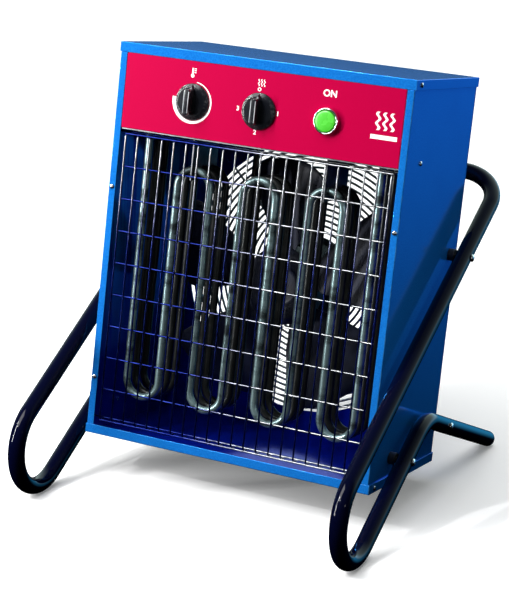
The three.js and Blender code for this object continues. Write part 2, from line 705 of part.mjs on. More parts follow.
function grille() {
  const half = WIRE / 2;
  const lowZ = BASE_FLANGE + GRILLE_GAP_Z;
  const highZ = FASCIA_EDGE - GRILLE_GAP_Z;
  const edgeX = FLANGE_IN - GRILLE_GAP_X;
  const thick = [GRILLE_SET_BACK, GRILLE_SET_BACK + WIRE];
  const wires = [];
  for (const [i, x] of evenly(-edgeX, edgeX, WIRE_PITCH_X).entries()) {
    const width = [x - half, x + half];
    wires.push(box(width, thick, [lowZ - half, highZ + half]));
    if (i % RETURN_EVERY) continue;
    for (const z of [lowZ, highZ]) wires.push(box(width, [thick[0], GRILLE_BACK], [z - half, z + half]));
  }
  for (const z of evenly(lowZ, highZ, WIRE_PITCH_Z)) {
    wires.push(box([-edgeX - half, edgeX + half], thick, [z - half, z + half]));
  }
  const reach = PANEL_IN - FIT;
  for (const z of [lowZ, highZ]) {
    wires.push(box([-reach, reach], [GRILLE_BACK - WIRE, GRILLE_BACK], [z - half, z + half]));
  }
  return joined(wires);
}

piece('front_grille', grille(), WIRE_STEEL);

// ---------------------------------------------------------------- heating elements
const BEND_TOP = DUCT_TOP - ELEMENT_TOP_GAP;
const BEND_FOOT = BASE_FLANGE + ELEMENT_BASE_GAP;

// One tube runs up and down across the duct and ends in two collars on the box floor.
function element(y) {
  const top = BOX_FLOOR + FIT + COLLAR_H;
  const corners = [new THREE.Vector3(-LEG_X, y, top)];
  for (let leg = 0; leg < elementLegs; leg += 1) {
    const x = leg * ELEMENT_PITCH - LEG_X;
    const down = new THREE.Vector3(x, y, BEND_FOOT);
    const up = new THREE.Vector3(x, y, BEND_TOP);
    if (leg === 0 || leg === elementLegs - 1) corners.push(down);
    else corners.push(...(leg % 2 ? [down, up] : [up, down]));
  }
  corners.push(new THREE.Vector3(LEG_X, y, top));
  const line = new BentLine(corners, ELEMENT_PITCH / 2, ELEMENT_BEND_STEP);
  const shapes = [tube(line, ELEMENT_R, THIN_SIDES)];
  for (const x of [-LEG_X, LEG_X]) {
    shapes.push(rod('z', COLLAR_R, COLLAR_H, [x, y, top - COLLAR_H / 2]));
    shapes.push(rod('z', TERMINAL_R, TERMINAL_H + SHEET, [x, y, top + TERMINAL_H / 2]));
  }
  return joined(shapes);
}

for (const [name, y] of elementRows) piece(name, element(y), ELEMENT_STEEL);

// Two plates hang under the box floor and hold the upper bends.
function hanger() {
  const last = elementRows.at(-1)[1];
  const reach = ELEMENT_R + HANGER_EDGE;
  const plate = box(
    [-HANGER_T / 2, HANGER_T / 2],
    [GRILLE_BACK + HANGER_FRONT_GAP, last + reach],
    [BEND_TOP - reach, DUCT_TOP - FIT],
  );
  const holes = elementRows.map(([, y]) => (
    rod('x', ELEMENT_R + HANGER_CLEAR, 4 * HANGER_T, [0, y, BEND_TOP], TUBE_SIDES)
  ));
  return joined([plate], holes);
}

for (const [side, sign] of SIDES) {
  piece(`${side}_element_hanger`, hanger(), ZINC).position.x = sign * 2 * ELEMENT_PITCH;
}

// ---------------------------------------------------------------- fan, motor and guard
function impeller() {
  const hub = turned([
    [0, HUB_BACK - HUB_LEN], [HUB_FACE_R, HUB_BACK - HUB_LEN],
    [HUB_R, HUB_BACK - HUB_LEN + HUB_BEVEL], [HUB_R, HUB_BACK], [0, HUB_BACK],
  ]);
  const shapes = [hub];
  const root = HUB_R - BLADE_SINK;
  const pitch = THREE.MathUtils.degToRad(BLADE_PITCH);
  const phase = THREE.MathUtils.degToRad(BLADE_PHASE);
  // The flat sheet is wider than the blade looks from the front, where it is seen at its pitch.
  const outline = new THREE.Shape([
    [-BLADE_ROOT, root],
    [BLADE_ROOT, root],
    ...BLADE_OUTLINE.map(([degrees, share]) => [degrees, share * FAN_R]),
  ].map(([degrees, radius]) => {
    const angle = THREE.MathUtils.degToRad(degrees);
    return new THREE.Vector2((radius * Math.sin(angle)) / Math.cos(pitch), radius * Math.cos(angle));
  }));
  for (let i = 0; i < BLADES; i += 1) {
    const blade = new THREE.ExtrudeGeometry(outline, { depth: BLADE_T, bevelEnabled: false });
    blade.translate(0, 0, -BLADE_T / 2)
      .rotateX(Math.PI / 2)
      .rotateZ(pitch)
      .rotateY((2 * Math.PI * i) / BLADES - phase)
      .translate(0, HUB_MID, 0);
    shapes.push(blade);
  }
  const bore = rod('y', SHAFT_R + FIT, 2 * HUB_LEN + 2 * HUB_GAP, [0, HUB_BACK, 0]);
  return joined(shapes, [bore]);
}

piece('fan_impeller', impeller(), BLADE_METAL).position.z = FAN_Z;

const shaftFront = HUB_BACK - SHAFT_HUB;
const shaftBack = MOTOR_FRONT + SHAFT_IN;
const shaft = rod('y', SHAFT_R, shaftBack - shaftFront, [0, (shaftBack + shaftFront) / 2, 0]);
piece('motor_shaft', shaft, BRIGHT_STEEL).position.z = FAN_Z;

const motor = joined(
  [turned([
    [0, MOTOR_FRONT - MOTOR_BOSS_H], [MOTOR_BOSS_R, MOTOR_FRONT - MOTOR_BOSS_H],
    [MOTOR_BOSS_R, MOTOR_FRONT], [MOTOR_FACE_R, MOTOR_FRONT], [MOTOR_R, MOTOR_FRONT + MOTOR_BEVEL],
    [MOTOR_R, REAR_OUT - MOTOR_BEVEL], [MOTOR_FACE_R, REAR_OUT], [0, REAR_OUT],
  ])],
  [rod('y', SHAFT_R + FIT, 2 * (SHAFT_IN + FIT), [0, MOTOR_FRONT, 0])],
);
piece('fan_motor', motor, MOTOR_PAINT).position.z = FAN_Z;

// Rings on four spokes, an ear at each spoke's end, and the plate that carries the motor.
function fanGuard() {
  const seat = REAR_OUT + FIT;
  const ringY = seat + GUARD_WIRE - WELD;
  const half = GUARD_WIRE / 2;
  const plate = rod('y', GUARD_PLATE_R, GUARD_PLATE_T, [0, seat + GUARD_PLATE_T / 2, 0], ROUND);
  const shapes = [plate];
  const holes = [];
  for (let r = GUARD_R; r > GUARD_PLATE_R; r -= GUARD_RING_PITCH) {
    shapes.push(turned([
      [r - half, ringY], [r + half, ringY], [r + half, ringY + GUARD_WIRE],
      [r - half, ringY + GUARD_WIRE], [r - half, ringY],
    ]));
  }
  for (const { turn, x, z } of guardScrews) {
    const spoke = box([GUARD_PLATE_R - half, GUARD_R + half], [seat, seat + GUARD_WIRE], [-half, half]);
    const ear = rod('y', EAR_R, GUARD_PLATE_T, [GUARD_SCREW_R, seat + GUARD_PLATE_T / 2, 0]);
    const neck = box([GUARD_R - half, GUARD_SCREW_R], [seat, seat + GUARD_PLATE_T], [-EAR_R / 2, EAR_R / 2]);
    for (const shape of [spoke, ear, neck]) shapes.push(shape.rotateY(-turn));
    holes.push(rod('y', SCREW_HOLE_R, 4 * GUARD_WIRE, [x, seat, z - FAN_Z]));
  }
  return joined(shapes, holes);
}

piece('rear_fan_guard', fanGuard(), WIRE_STEEL).position.z = FAN_Z;

// ---------------------------------------------------------------- stand
function standCorners(sign) {
  const place = ({ y, z }) => new THREE.Vector3(sign * STAND_X, y, z);
  return [
    place(tailPoint(TAIL_LEN)),
    place(tailPoint(0)),
    place(armPoint(LOWER_ARM_OFF, -FRONT_REACH)),
    place(armPoint(UPPER_ARM_OFF, -FRONT_REACH)),
    place(armPoint(UPPER_ARM_OFF, HANDLE_REACH)),
  ];
}

function stand() {
  const corners = [...standCorners(1), ...standCorners(-1).reverse()];
  const line = new BentLine(corners, BEND_R, STAND_BEND_STEP);
  const cuts = [];
  for (const [, sign] of SIDES) {
    for (const [, { y, z }] of STAND_BOLTS) {
      cuts.push(rod('x', BOLT_HOLE_R, 4 * TUBE_R, [sign * STAND_X, y, z]));
    }
  }
  return joined([tube(line, TUBE_R, TUBE_SIDES, TUBE_R - TUBE_WALL)], cuts);
}

piece('stand_frame', stand(), TUBE_PAINT);

const spacer = joined(
  [rod('x', SPACER_R, SPACER_LEN, [0, 0, 0], TUBE_SIDES)],
  [rod('x', BOLT_HOLE_R, 2 * SPACER_LEN, [0, 0, 0])],
);
const SPACER_X = PANEL_OUT + FIT + SPACER_LEN / 2;
const BOLT_FACE = STAND_X + TUBE_R + FIT; // underside of a bolt's head

// A fastener lies along Y with its head beyond y = 0 and its shank behind it.
function fastener(headR, headH, shankR, length) {
  return turned([
    [0, -length], [shankR, -length], [shankR, 0], [headR, 0], [headR, headH * HEAD_RIM],
    [headR * HEAD_CROWN[0], headH * HEAD_CROWN[1]], [0, headH],
  ], HOLE);
}

const bolt = fastener(BOLT_HEAD_R, BOLT_HEAD_H, BOLT_R, BOLT_FACE - PANEL_IN + BOLT_END);
for (const [side, sign] of SIDES) {
  for (const [place, { y, z }] of STAND_BOLTS) {
    piece(`${side}_${place}_spacer`, spacer, BLACK_PLASTIC).position.set(sign * SPACER_X, y, z);
    const screwed = piece(`${side}_${place}_bolt`, bolt, BRIGHT_STEEL);
    screwed.position.set(sign * BOLT_FACE, y, z);
    screwed.rotation.z = (-sign * Math.PI) / 2;
  }
}

// The stub stays clear of the flats of the tube's bore.
const stubR = (TUBE_R - TUBE_WALL) * Math.cos(Math.PI / BORE_SIDES) - FIT;
const plug = turned([
  [0, -PLUG_STUB], [stubR, -PLUG_STUB], [stubR, 0], [TUBE_R, 0], [TUBE_R, PLUG_RIM],
  ...DOME_OUTLINE.map(([radius, height]) => [TUBE_R * radius, PLUG_RIM + PLUG_DOME * height]),
  [0, PLUG_RIM + PLUG_DOME],
], TUBE_SIDES);
for (const [side, sign] of SIDES) {
  const end = tailPoint(TAIL_LEN + FIT);
  const fitted = piece(`${side}_tail_plug`, plug, BLACK_PLASTIC);
  fitted.position.set(sign * STAND_X, end.y, end.z);
  fitted.rotation.x = -tailAngle;
}

// ---------------------------------------------------------------- casing screws
const screw = fastener(SCREW_HEAD_R, SCREW_HEAD_H, SCREW_R, SCREW_LEN);
const UP_Y = new THREE.Vector3(0, 1, 0);

function driveScrew(name, [x, y, z], outward) {
  const driven = piece(name, screw, BRIGHT_STEEL);
  driven.position.set(x, y, z).addScaledVector(outward, FIT);
  driven.quaternion.setFromUnitVectors(UP_Y, outward);
}

for (const [name, point, outward] of [...flangeScrews, ...sideScrews]) {
  driveScrew(name, point, outward);
}
for (const { name, x, z } of guardScrews) {
  driveScrew(name, [x, REAR_OUT + FIT + GUARD_PLATE_T, z], BACK);
}

// ---------------------------------------------------------------- on the floor
heater.rotation.x = -leanAngle();
heater.updateMatrixWorld(true);
const extent = new THREE.Box3().setFromObject(heater, true);
const middle = extent.getCenter(new THREE.Vector3());
heater.position.set(-middle.x, -middle.y, -extent.min.z);

export default heater;
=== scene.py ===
# %% [markdown]
# # A forced air heater on a bent tube stand
#
# The heater is a folded steel casing, painted blue, with a crimson control panel above an open
# wire grille. Behind the grille hang three rows of black-hot tube elements, and behind those an
# axial fan pushes room air forward. One bent tube is stand, feet and handle at once.
#
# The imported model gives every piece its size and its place. This file gives the pieces their
# finish: rounded folds, wire nets, bent tubes, knobs, printed marks and paint.

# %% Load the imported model
import json
import math

import bmesh
import bpy
import numpy as np
from mathutils import Matrix, Vector

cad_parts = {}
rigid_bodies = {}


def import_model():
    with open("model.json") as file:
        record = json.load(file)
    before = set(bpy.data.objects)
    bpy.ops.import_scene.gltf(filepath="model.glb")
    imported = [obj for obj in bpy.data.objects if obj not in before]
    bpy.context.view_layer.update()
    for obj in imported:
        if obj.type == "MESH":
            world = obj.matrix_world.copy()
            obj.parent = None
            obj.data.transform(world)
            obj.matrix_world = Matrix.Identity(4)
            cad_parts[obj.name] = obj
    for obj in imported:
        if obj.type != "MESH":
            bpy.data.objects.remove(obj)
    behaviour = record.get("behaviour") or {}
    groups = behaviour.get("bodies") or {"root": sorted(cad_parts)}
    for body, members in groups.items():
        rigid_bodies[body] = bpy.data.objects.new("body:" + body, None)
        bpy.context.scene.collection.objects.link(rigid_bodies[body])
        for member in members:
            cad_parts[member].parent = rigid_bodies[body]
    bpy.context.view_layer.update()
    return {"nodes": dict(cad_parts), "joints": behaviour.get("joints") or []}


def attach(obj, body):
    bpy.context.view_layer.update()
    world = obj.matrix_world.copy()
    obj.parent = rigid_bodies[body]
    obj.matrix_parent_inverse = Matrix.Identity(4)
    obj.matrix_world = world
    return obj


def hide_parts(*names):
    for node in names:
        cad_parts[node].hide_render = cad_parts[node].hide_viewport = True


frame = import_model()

NODES = frame["nodes"]
print("nodes in the model:", len(NODES))

# %% [markdown]
# ## The casing's own frame
#
# The casing leans back on its stand, so nothing on it is upright in the room. It is easier to
# build each piece in the casing's own frame, in millimetres: X to the right, Y from the front
# face to the back, Z up the casing. The fan's axis gives the lean, and the foot of the bottom
# cover's front face is the origin. One matrix then carries finished meshes to their place.

# %% The casing's frame, from the fan's axis and the bottom cover
MM = 0.001
fan_joint = next(joint for joint in frame["joints"] if joint["name"] == "fan_spin")
DEPTH_AXIS = Vector(fan_joint["axis"]).normalized()
WIDTH_AXIS = Vector((1, 0, 0))
UP_AXIS = WIDTH_AXIS.cross(DEPTH_AXIS)


def lowest(node, axis):
    return axis * min(vertex.co.dot(axis) for vertex in NODES[node].data.vertices)


foot = lowest("bottom_cover", DEPTH_AXIS) + lowest("bottom_cover", UP_AXIS)
TURN = Matrix((WIDTH_AXIS, DEPTH_AXIS, UP_AXIS)).transposed().to_4x4()
CASING = Matrix.Translation(foot) @ TURN
TO_ROW = CASING @ Matrix.Scale(MM, 4)
TO_CASING = TO_ROW.inverted()


def extent(*names):
    """Lowest and highest corner of some nodes together, in casing millimetres."""
    points = np.array([TO_CASING @ v.co for name in names for v in NODES[name].data.vertices])
    return Vector(points.min(0)), Vector(points.max(0))


def middle(*names):
    low, high = extent(*names)
    return (low + high) / 2


case_low, case_high = extent("top_cover", "bottom_cover")
print("casing, mm:", [round(v, 1) for v in case_high - case_low])

# %% [markdown]
# ## Camera
#
# The photograph is taken from the front right, a little above the heater, from about two
# metres. The camera is placed in the casing's frame, where its angles were worked out, and has
# no shift and no depth of field.

# %% Camera at the photograph's angle
CAMERA_AT = Vector((881.8, -1910.9, 561.0))
CAMERA_AZIMUTH = 24.32
CAMERA_TILT = 10.13
CAMERA_ROLL = 6.06
CAMERA_LENS = 118.05
SENSOR_WIDTH = 36


def turn(degrees, axis):
    return Matrix.Rotation(math.radians(degrees), 4, axis)


camera_data = bpy.data.cameras.new("camera")
camera_data.lens = CAMERA_LENS
camera_data.sensor_width = SENSOR_WIDTH
camera = bpy.data.objects.new("camera", camera_data)
aim = turn(CAMERA_AZIMUTH, "Z") @ turn(90 - CAMERA_TILT, "X") @ turn(CAMERA_ROLL, "Z")
camera.matrix_world = CASING @ Matrix.Translation(CAMERA_AT * MM) @ aim
bpy.context.scene.collection.objects.link(camera)
bpy.context.scene.camera = camera
print("camera at", [round(v, 3) for v in camera.matrix_world.translation])

# %% [markdown]
# ## Writing node trees as sums
#
# A finish and a Geometry Nodes tree are both sheets of nodes. `Sheet.node` adds any node: its
# settings first, then the values or links of its sockets. What comes back is a `Signal`, which
# can be used in a sum like a number: each operator adds a Math node.


# %% Sheet and Signal
class Signal:
    """An output socket that can be used in a sum."""

    def __init__(self, sheet, socket):
        self.sheet = sheet
        self.socket = socket

    def _math(self, operation, first, second):
        return self.sheet.node("ShaderNodeMath", {"operation": operation}, {0: first, 1: second})

    def __add__(self, other):
        return self._math("ADD", self, other)

    def __sub__(self, other):
        return self._math("SUBTRACT", self, other)

    def __rsub__(self, other):
        return self._math("SUBTRACT", other, self)

    def __mul__(self, other):
        return self._math("MULTIPLY", self, other)

    __radd__ = __add__
    __rmul__ = __mul__


class Sheet:
    """A node tree being written."""

    def __init__(self, tree):
        self.tree = tree

    def node(self, kind, settings=None, values=None, output=0):
        node = self.tree.nodes.new(kind)
        for name, value in (settings or {}).items():
            setattr(node, name, value)
        for key, value in (values or {}).items():
            for part in value if isinstance(value, list) else [value]:
                self._feed(node.inputs[key], part)
        return Signal(self, node.outputs[output]) if node.outputs else node

    def _feed(self, socket, value):
        if isinstance(value, Signal):
            self.tree.links.new(value.socket, socket)
        else:
            socket.default_value = value

    def steps(self, signal, low, high):
        """0 below low, 1 above high, smooth between."""
        values = {"Value": signal, "From Min": low, "From Max": high}
        return self.node("ShaderNodeMapRange", {"interpolation_type": "SMOOTHSTEP"}, values)


# %% [markdown]
# ## Studio
#
# A white sheet on the floor and white all round. A large soft box hangs close over the heater's
# front left corner, so its light fades down the front as it does in the photograph, and broad
# light from overhead leaves soft shadows under the feet. A small low sun, the glint, throws the
# shadows of the grille's wires on the elements behind them. A narrow strip light draws thin
# lines on tubes and wires, and a weak spot lifts the front half of the right side panel.
#
# The sky that gloss mirrors is bright behind the heater and dark on the camera's side, so black
# tubes stay black. A blue card behind the heater on the right is what the right side panel
# mirrors, with the stand's arm as a dark band across it. The white surround is a dome that only
# the camera sees.

# %% Floor, surround and lights
DOME_R = 14.0
SKY_FRONT = 0.02
SKY_BEHIND = 1.4
SKY_ABOVE = 0.08
SKY_RIGHT = 1.35
SKY_COLOUR = (0.78, 1.0, 0.94)
CARD_COLOUR = (0.05, 0.50, 1.0)
CARD_WAY = (0.41, 0.91)
SOFT_BOX_WATTS = 15
SOFT_BOX_SIZE = (0.7, 0.7)
SOFT_BOX_AT = Vector((-0.55, -0.75, 1.15))
STRIP_WATTS = 24
STRIP_SIZE = (0.02, 0.9)
STRIP_AT = Vector((-0.95, -0.95, 0.62))
SPOT_WATTS = 12
SPOT_WIDTH = 24
SPOT_SOFTNESS = 0.12
SPOT_AT = Vector((1.15, -0.75, 0.62))
SPOT_AIM = Vector((0.17, -0.06, 0.30))
HEATER_MIDDLE = Vector((0, 0, 0.25))
OVERHEAD_POWER = 2.7
OVERHEAD_WIDTH = 60
OVERHEAD_FROM = (-30, 78)
GLINT_POWER = 0.9
GLINT_WIDTH = 1.5
GLINT_FROM = (-30, 40)
FLOOR_GLOW = 0.19
FLOOR_WHITE = (0.93, 0.93, 0.93)


def plain_material(name, colour, glow):
    material = bpy.data.materials.new(name)
    material.use_nodes = True
    shader = material.node_tree.nodes["Principled BSDF"]
    shader.inputs["Base Color"].default_value = (*colour, 1)
    shader.inputs["Roughness"].default_value = 0.9
    shader.inputs["Specular IOR Level"].default_value = 0.0
    shader.inputs["Emission Color"].default_value = (*colour, 1)
    shader.inputs["Emission Strength"].default_value = glow
    return material


def stage_piece(name, shape, material, hidden_from):
    """Part of the studio; the kinds of ray that it is hidden from pass through it."""
    mesh = bpy.data.meshes.new(name)
    shape.to_mesh(mesh)
    shape.free()
    mesh.materials.append(material)
    obj = bpy.data.objects.new(name, mesh)
    bpy.context.scene.collection.objects.link(obj)
    for ray in hidden_from:
        setattr(obj, f"visible_{ray}", False)


floor_shape = bmesh.new()
bmesh.ops.create_circle(floor_shape, cap_ends=True, segments=64, radius=DOME_R)
stage_piece("studio_floor", floor_shape, plain_material("white_sheet", FLOOR_WHITE, FLOOR_GLOW),
            ("diffuse", "glossy"))
dome_shape = bmesh.new()
bmesh.ops.create_uvsphere(dome_shape, u_segments=48, v_segments=24, radius=DOME_R)
stage_piece("studio_surround", dome_shape, plain_material("white_surround", (1, 1, 1), 1.0),
            ("diffuse", "glossy", "transmission", "shadow", "volume_scatter"))

world = bpy.data.worlds.new("studio_sky")
bpy.context.scene.world = world
world.use_nodes = True
world.node_tree.nodes.clear()
sky = Sheet(world.node_tree)
direction = sky.node("ShaderNodeTexCoord", output="Generated")
sky_x, sky_y, sky_z = (sky.node("ShaderNodeSeparateXYZ", {}, {0: direction}, i) for i in range(3))
mirrored_only = 1.0 - sky.node("ShaderNodeLightPath", output="Is Diffuse Ray")
above_floor = (SKY_FRONT + SKY_BEHIND * mirrored_only * sky.steps(sky_y, 0.0, 0.8)
               + SKY_ABOVE * sky.steps(sky_z, 0.3, 0.9)) * sky.steps(sky_z, -0.08, 0.12)
behind_right = (sky.steps(sky_x * CARD_WAY[0] + sky_y * CARD_WAY[1], 0.72, 0.96)
                * sky.steps(sky_z, -0.38, -0.06))
blue_card = SKY_RIGHT * mirrored_only * behind_right * (1.0 - sky.steps(sky_z, 0.1, 0.4))
open_sky, card = (
    sky.node("ShaderNodeBackground", {}, {"Color": (*colour, 1), "Strength": strength})
    for colour, strength in ((SKY_COLOUR, above_floor), (CARD_COLOUR, blue_card)))
both = sky.node("ShaderNodeAddShader", {}, {0: open_sky, 1: card})
sky.node("ShaderNodeOutputWorld", {}, {"Surface": both})


def light(name, kind, power, place, mirrored=True):
    """A light that is not mirrored lights a gloss paint without showing in it."""
    data = bpy.data.lights.new(name, kind)
    data.energy = power
    obj = bpy.data.objects.new(name, data)
    obj.matrix_world = place
    obj.visible_glossy = mirrored
    bpy.context.scene.collection.objects.link(obj)
    return data


def sun_place(azimuth, height):
    """Azimuth is measured from straight in front, to the right."""
    return turn(azimuth, "Z") @ turn(90 - height, "X")


def facing(place, aim):
    return Matrix.Translation(place) @ (aim - place).to_track_quat("-Z", "Y").to_matrix().to_4x4()


def soft_box(name, watts, place, size):
    """A lit rectangle that faces the middle of the heater."""
    data = light(name, "AREA", watts, facing(place, HEATER_MIDDLE))
    data.shape = "RECTANGLE"
    data.size, data.size_y = size


soft_box("soft_box", SOFT_BOX_WATTS, SOFT_BOX_AT, SOFT_BOX_SIZE)
soft_box("strip_light", STRIP_WATTS, STRIP_AT, STRIP_SIZE)
side_spot = light("side_spot", "SPOT", SPOT_WATTS, facing(SPOT_AT, SPOT_AIM))
side_spot.spot_size = math.radians(SPOT_WIDTH)
side_spot.spot_blend = 1.0
side_spot.shadow_soft_size = SPOT_SOFTNESS
overhead = light("overhead", "SUN", OVERHEAD_POWER, sun_place(*OVERHEAD_FROM), mirrored=False)
overhead.angle = math.radians(OVERHEAD_WIDTH)
glint = light("glint", "SUN", GLINT_POWER, sun_place(*GLINT_FROM))
glint.angle = math.radians(GLINT_WIDTH)
bpy.context.scene.view_settings.view_transform = "Standard"
print("studio: soft box", SOFT_BOX_WATTS, "W, overhead", OVERHEAD_POWER)

# %% [markdown]
# ## Finishes
#
# Every finish reads Object coordinates, in metres, so a grain has its real size whatever piece
# it is on. `Finish.noise` takes the size of the grain in millimetres. `Finish.close` wires the
# parts that vary, and sets the rest as constants on the shader's own sockets.


# %% A finish
class Finish(Sheet):
    def __init__(self, name):
        self.material = bpy.data.materials.new(name)
        self.material.use_nodes = True
        super().__init__(self.material.node_tree)
        self.tree.nodes.clear()
        self.place = self.node("ShaderNodeTexCoord", output="Object")

    def noise(self, size_mm, detail=2.0, roughness=0.5, stretch=(1, 1, 1)):
        where = self.node("ShaderNodeMapping", {}, {"Vector": self.place, "Scale": stretch})
        values = {"Vector": where, "Scale": 1 / (size_mm * MM), "Detail": detail,
                  "Roughness": roughness}
        return self.node("ShaderNodeTexNoise", {}, values, "Fac")

    def mix(self, amount, first, second):
        colours = [value if isinstance(value, Signal) else (*value, 1) for value in (first, second)]
        values = {0: amount, 6: colours[0], 7: colours[1]}
        return self.node("ShaderNodeMix", {"data_type": "RGBA"}, values, 2)

    def bump(self, height, depth_mm, strength=1.0):
        values = {"Height": height, "Distance": depth_mm * MM, "Strength": strength}
        return self.node("ShaderNodeBump", {}, values)

    def along(self, axis):
        """Millimetres from the casing's foot along one of the casing's axes."""
        reach = self.node("ShaderNodeVectorMath", {"operation": "DOT_PRODUCT"},
                          {0: self.place, 1: axis / MM}, "Value")
        return reach - foot.dot(axis) / MM

    def edges(self):
        """1 on the rounded edges that a piece marks, 0 on its faces."""
        return self.node("ShaderNodeAttribute", {"attribute_name": "edge"}, output="Fac")

    def close(self, colour, roughness, normal=None, **constants):
        values = {"Base Color": colour if isinstance(colour, Signal) else (*colour, 1),
                  "Roughness": roughness}
        if normal is not None:
            values["Normal"] = normal
        values.update({name.replace("_", " "): value for name, value in constants.items()})
        shader = self.node("ShaderNodeBsdfPrincipled", {}, values)
        self.node("ShaderNodeOutputMaterial", {}, {"Surface": shader})
        return self.material


# %% [markdown]
# ### Paint
#
# The casing is powder coated: a fine orange peel, a speckle in the blue and paler folds, which are
# a painted highlight along the rounded edges. Inside the duct the same paint is painted dark as
# painted shade, so the finish also asks whether a point lies within the outer faces of the casing.
# The far left of the duct is painted lighter in upright streaks, as painted light. The control
# panel is a smoother crimson film. The stand is dipped in a deep glossy navy that is almost black.


# %% Paints
MOTTLE_MM = 60
SPECKLE_MM = 1.4
FOLD_SHEEN_MM = 9
LIGHT_STREAK_MM = 12
LIT_LEFT = (-172, -120)
LIT_UP = (40, 320)


def band(finish, place, rise, fall):
    """1 between two ramps, 0 outside them."""
    return finish.steps(place, *rise) * (1.0 - finish.steps(place, *fall))


def inside_casing(finish):
    """1 on the inner faces of the sheets, 0 on the outer ones; a sheet is 1.2 mm thick."""
    x, y, z = (finish.along(axis) for axis in (WIDTH_AXIS, DEPTH_AXIS, UP_AXIS))
    half = case_high.x
    within_x = 1.0 - finish.steps(x * x, (half - 2.5) ** 2, (half - 1.8) ** 2)
    within_y = band(finish, y, (0.4, 1.0), (case_high.y - 2.4, case_high.y - 1.8))
    within_z = band(finish, z, (0.3, 0.9), (case_high.z - 0.9, case_high.z - 0.3))
    return within_x * within_y * within_z


def powder_coat(name, colour, pale, deep, roughness, peel_mm, peel_depth, fold_sheen, duct_shade=None,
                **constants):
    finish = Finish(name)
    peel = finish.noise(peel_mm, 2.0)
    mottle = finish.noise(MOTTLE_MM, 2.0)
    speckle = finish.noise(SPECKLE_MM, 1.0)
    tone = finish.mix(finish.steps(mottle * 0.2 + speckle * 0.8, 0.22, 0.78), deep, colour)
    # Paler folds: a painted highlight along the rounded edges.
    wear_and_sheen = finish.steps(finish.edges() * (finish.noise(FOLD_SHEEN_MM, 4.0) + 0.25), 0.62, 0.95) * fold_sheen
    tone = finish.mix(wear_and_sheen, tone, pale)
    # Inside the duct the paint is painted darker, as painted shade; the far left wall is painted
    # lighter in upright streaks, as painted light.
    if duct_shade:
        lit_left_wall = 1.0 - finish.steps(finish.along(WIDTH_AXIS), *LIT_LEFT)
        light_streak_noise = finish.noise(LIGHT_STREAK_MM, 1.0, stretch=(1, 1, 0.06))
        lit_streaks = (lit_left_wall * finish.steps(finish.along(UP_AXIS), *LIT_UP)
                   * finish.steps(light_streak_noise, 0.35, 0.6))
        duct_shaded_tone = finish.mix(lit_streaks, duct_shade, tuple(0.8 * part for part in colour))
        tone = finish.mix(inside_casing(finish), tone, duct_shaded_tone)
    gloss = roughness + 0.05 * speckle
    return finish.close(tone, gloss, finish.bump(peel, peel_depth), **constants)


# Each paint's pale colour is its painted highlight along the folds.
CASING_PAINT = powder_coat(
    "casing_paint", colour=(0.012, 0.225, 0.74), pale=(0.13, 0.46, 0.84), deep=(0.006, 0.140, 0.54),
    # The last colour given here is the painted shade inside the duct.
    roughness=0.09, peel_mm=1.6, peel_depth=0.006, fold_sheen=0.6, duct_shade=(0.002, 0.012, 0.30),
    Metallic=0.4, Specular_IOR_Level=0.30, Specular_Tint=(0.05, 0.35, 1.0, 1.0))
FASCIA_PAINT = powder_coat(
    "fascia_paint", colour=(0.335, 0.0004, 0.034), pale=(0.50, 0.04, 0.09),
    deep=(0.325, 0.0003, 0.032), roughness=0.40, peel_mm=2.5, peel_depth=0.003, fold_sheen=0.3,
    Specular_IOR_Level=0.08, Specular_Tint=(1.0, 0.05, 0.20, 1.0))
TUBE_PAINT = powder_coat(
    "tube_paint", colour=(0.0008, 0.0012, 0.010), pale=(0.02, 0.025, 0.06),
    deep=(0.0006, 0.0009, 0.007), roughness=0.02, peel_mm=6.0, peel_depth=0.004, fold_sheen=0.2,
    Specular_IOR_Level=0.16)
MOTOR_PAINT = powder_coat(
    "motor_paint", colour=(0.012, 0.013, 0.016), pale=(0.08, 0.08, 0.085),
    deep=(0.007, 0.008, 0.010), roughness=0.45, peel_mm=1.4, peel_depth=0.02, fold_sheen=0.4)


# %% [markdown]
# ### Bare and plated metal
#
# Bright wire, screws and folded zinc sheet differ in how sharp their reflections are and in the
# size of their spangle. A faint stretched noise stands for drawing and rolling marks. The front
# grille's wire is bright at the top and on the right, and painted dark blue at the lower left as
# a painted reflection of the blue duct and painted shade. The tube elements are steel that has
# been red hot many times, so they carry grey-green and dark scale. The rows behind the first are
# painted darker all over as painted shade: the finish reads how deep in the casing it is.


# %% Metals
SCRATCH_MM = 0.5
# Where the grille's wire is painted dark blue, a painted reflection of the blue duct and painted
# shade.
CROSS_PAINTED_REFLECTION = (-60, 60)
UPRIGHT_PAINTED_REFLECTION = (215, 330)
FIRST_ROW_DEPTH = 29


def net_painted_reflection(finish):
    """1 where the grille is painted dark blue, a painted reflection of the blue duct and painted
    shade; the wires in front are the uprights.
    """
    x, y, z = (finish.along(axis) for axis in (WIDTH_AXIS, DEPTH_AXIS, UP_AXIS))
    net_y = extent("front_grille")[0].y
    is_cross = finish.steps(y, net_y + 0.45, net_y + 0.85)
    return (is_cross * (1.0 - finish.steps(x, *CROSS_PAINTED_REFLECTION))
            + (1.0 - is_cross) * (1.0 - finish.steps(z, *UPRIGHT_PAINTED_REFLECTION)))


def bright_metal(name, colour, shade, roughness, spangle_mm, painted_reflection=None):
    finish = Finish(name)
    cloud = finish.noise(spangle_mm, 4.0)
    spangle = finish.steps(cloud, 0.3, 0.7)
    scratches = finish.noise(SCRATCH_MM, 2.0, stretch=(1, 1, 0.1))
    tone = finish.mix(spangle, shade, colour)
    if painted_reflection:
        tone = finish.mix(net_painted_reflection(finish), tone, finish.mix(spangle, *painted_reflection))
    gloss = roughness + 0.16 * cloud
    return finish.close(tone, gloss, finish.bump(scratches, 0.01, 0.5), Metallic=1.0)
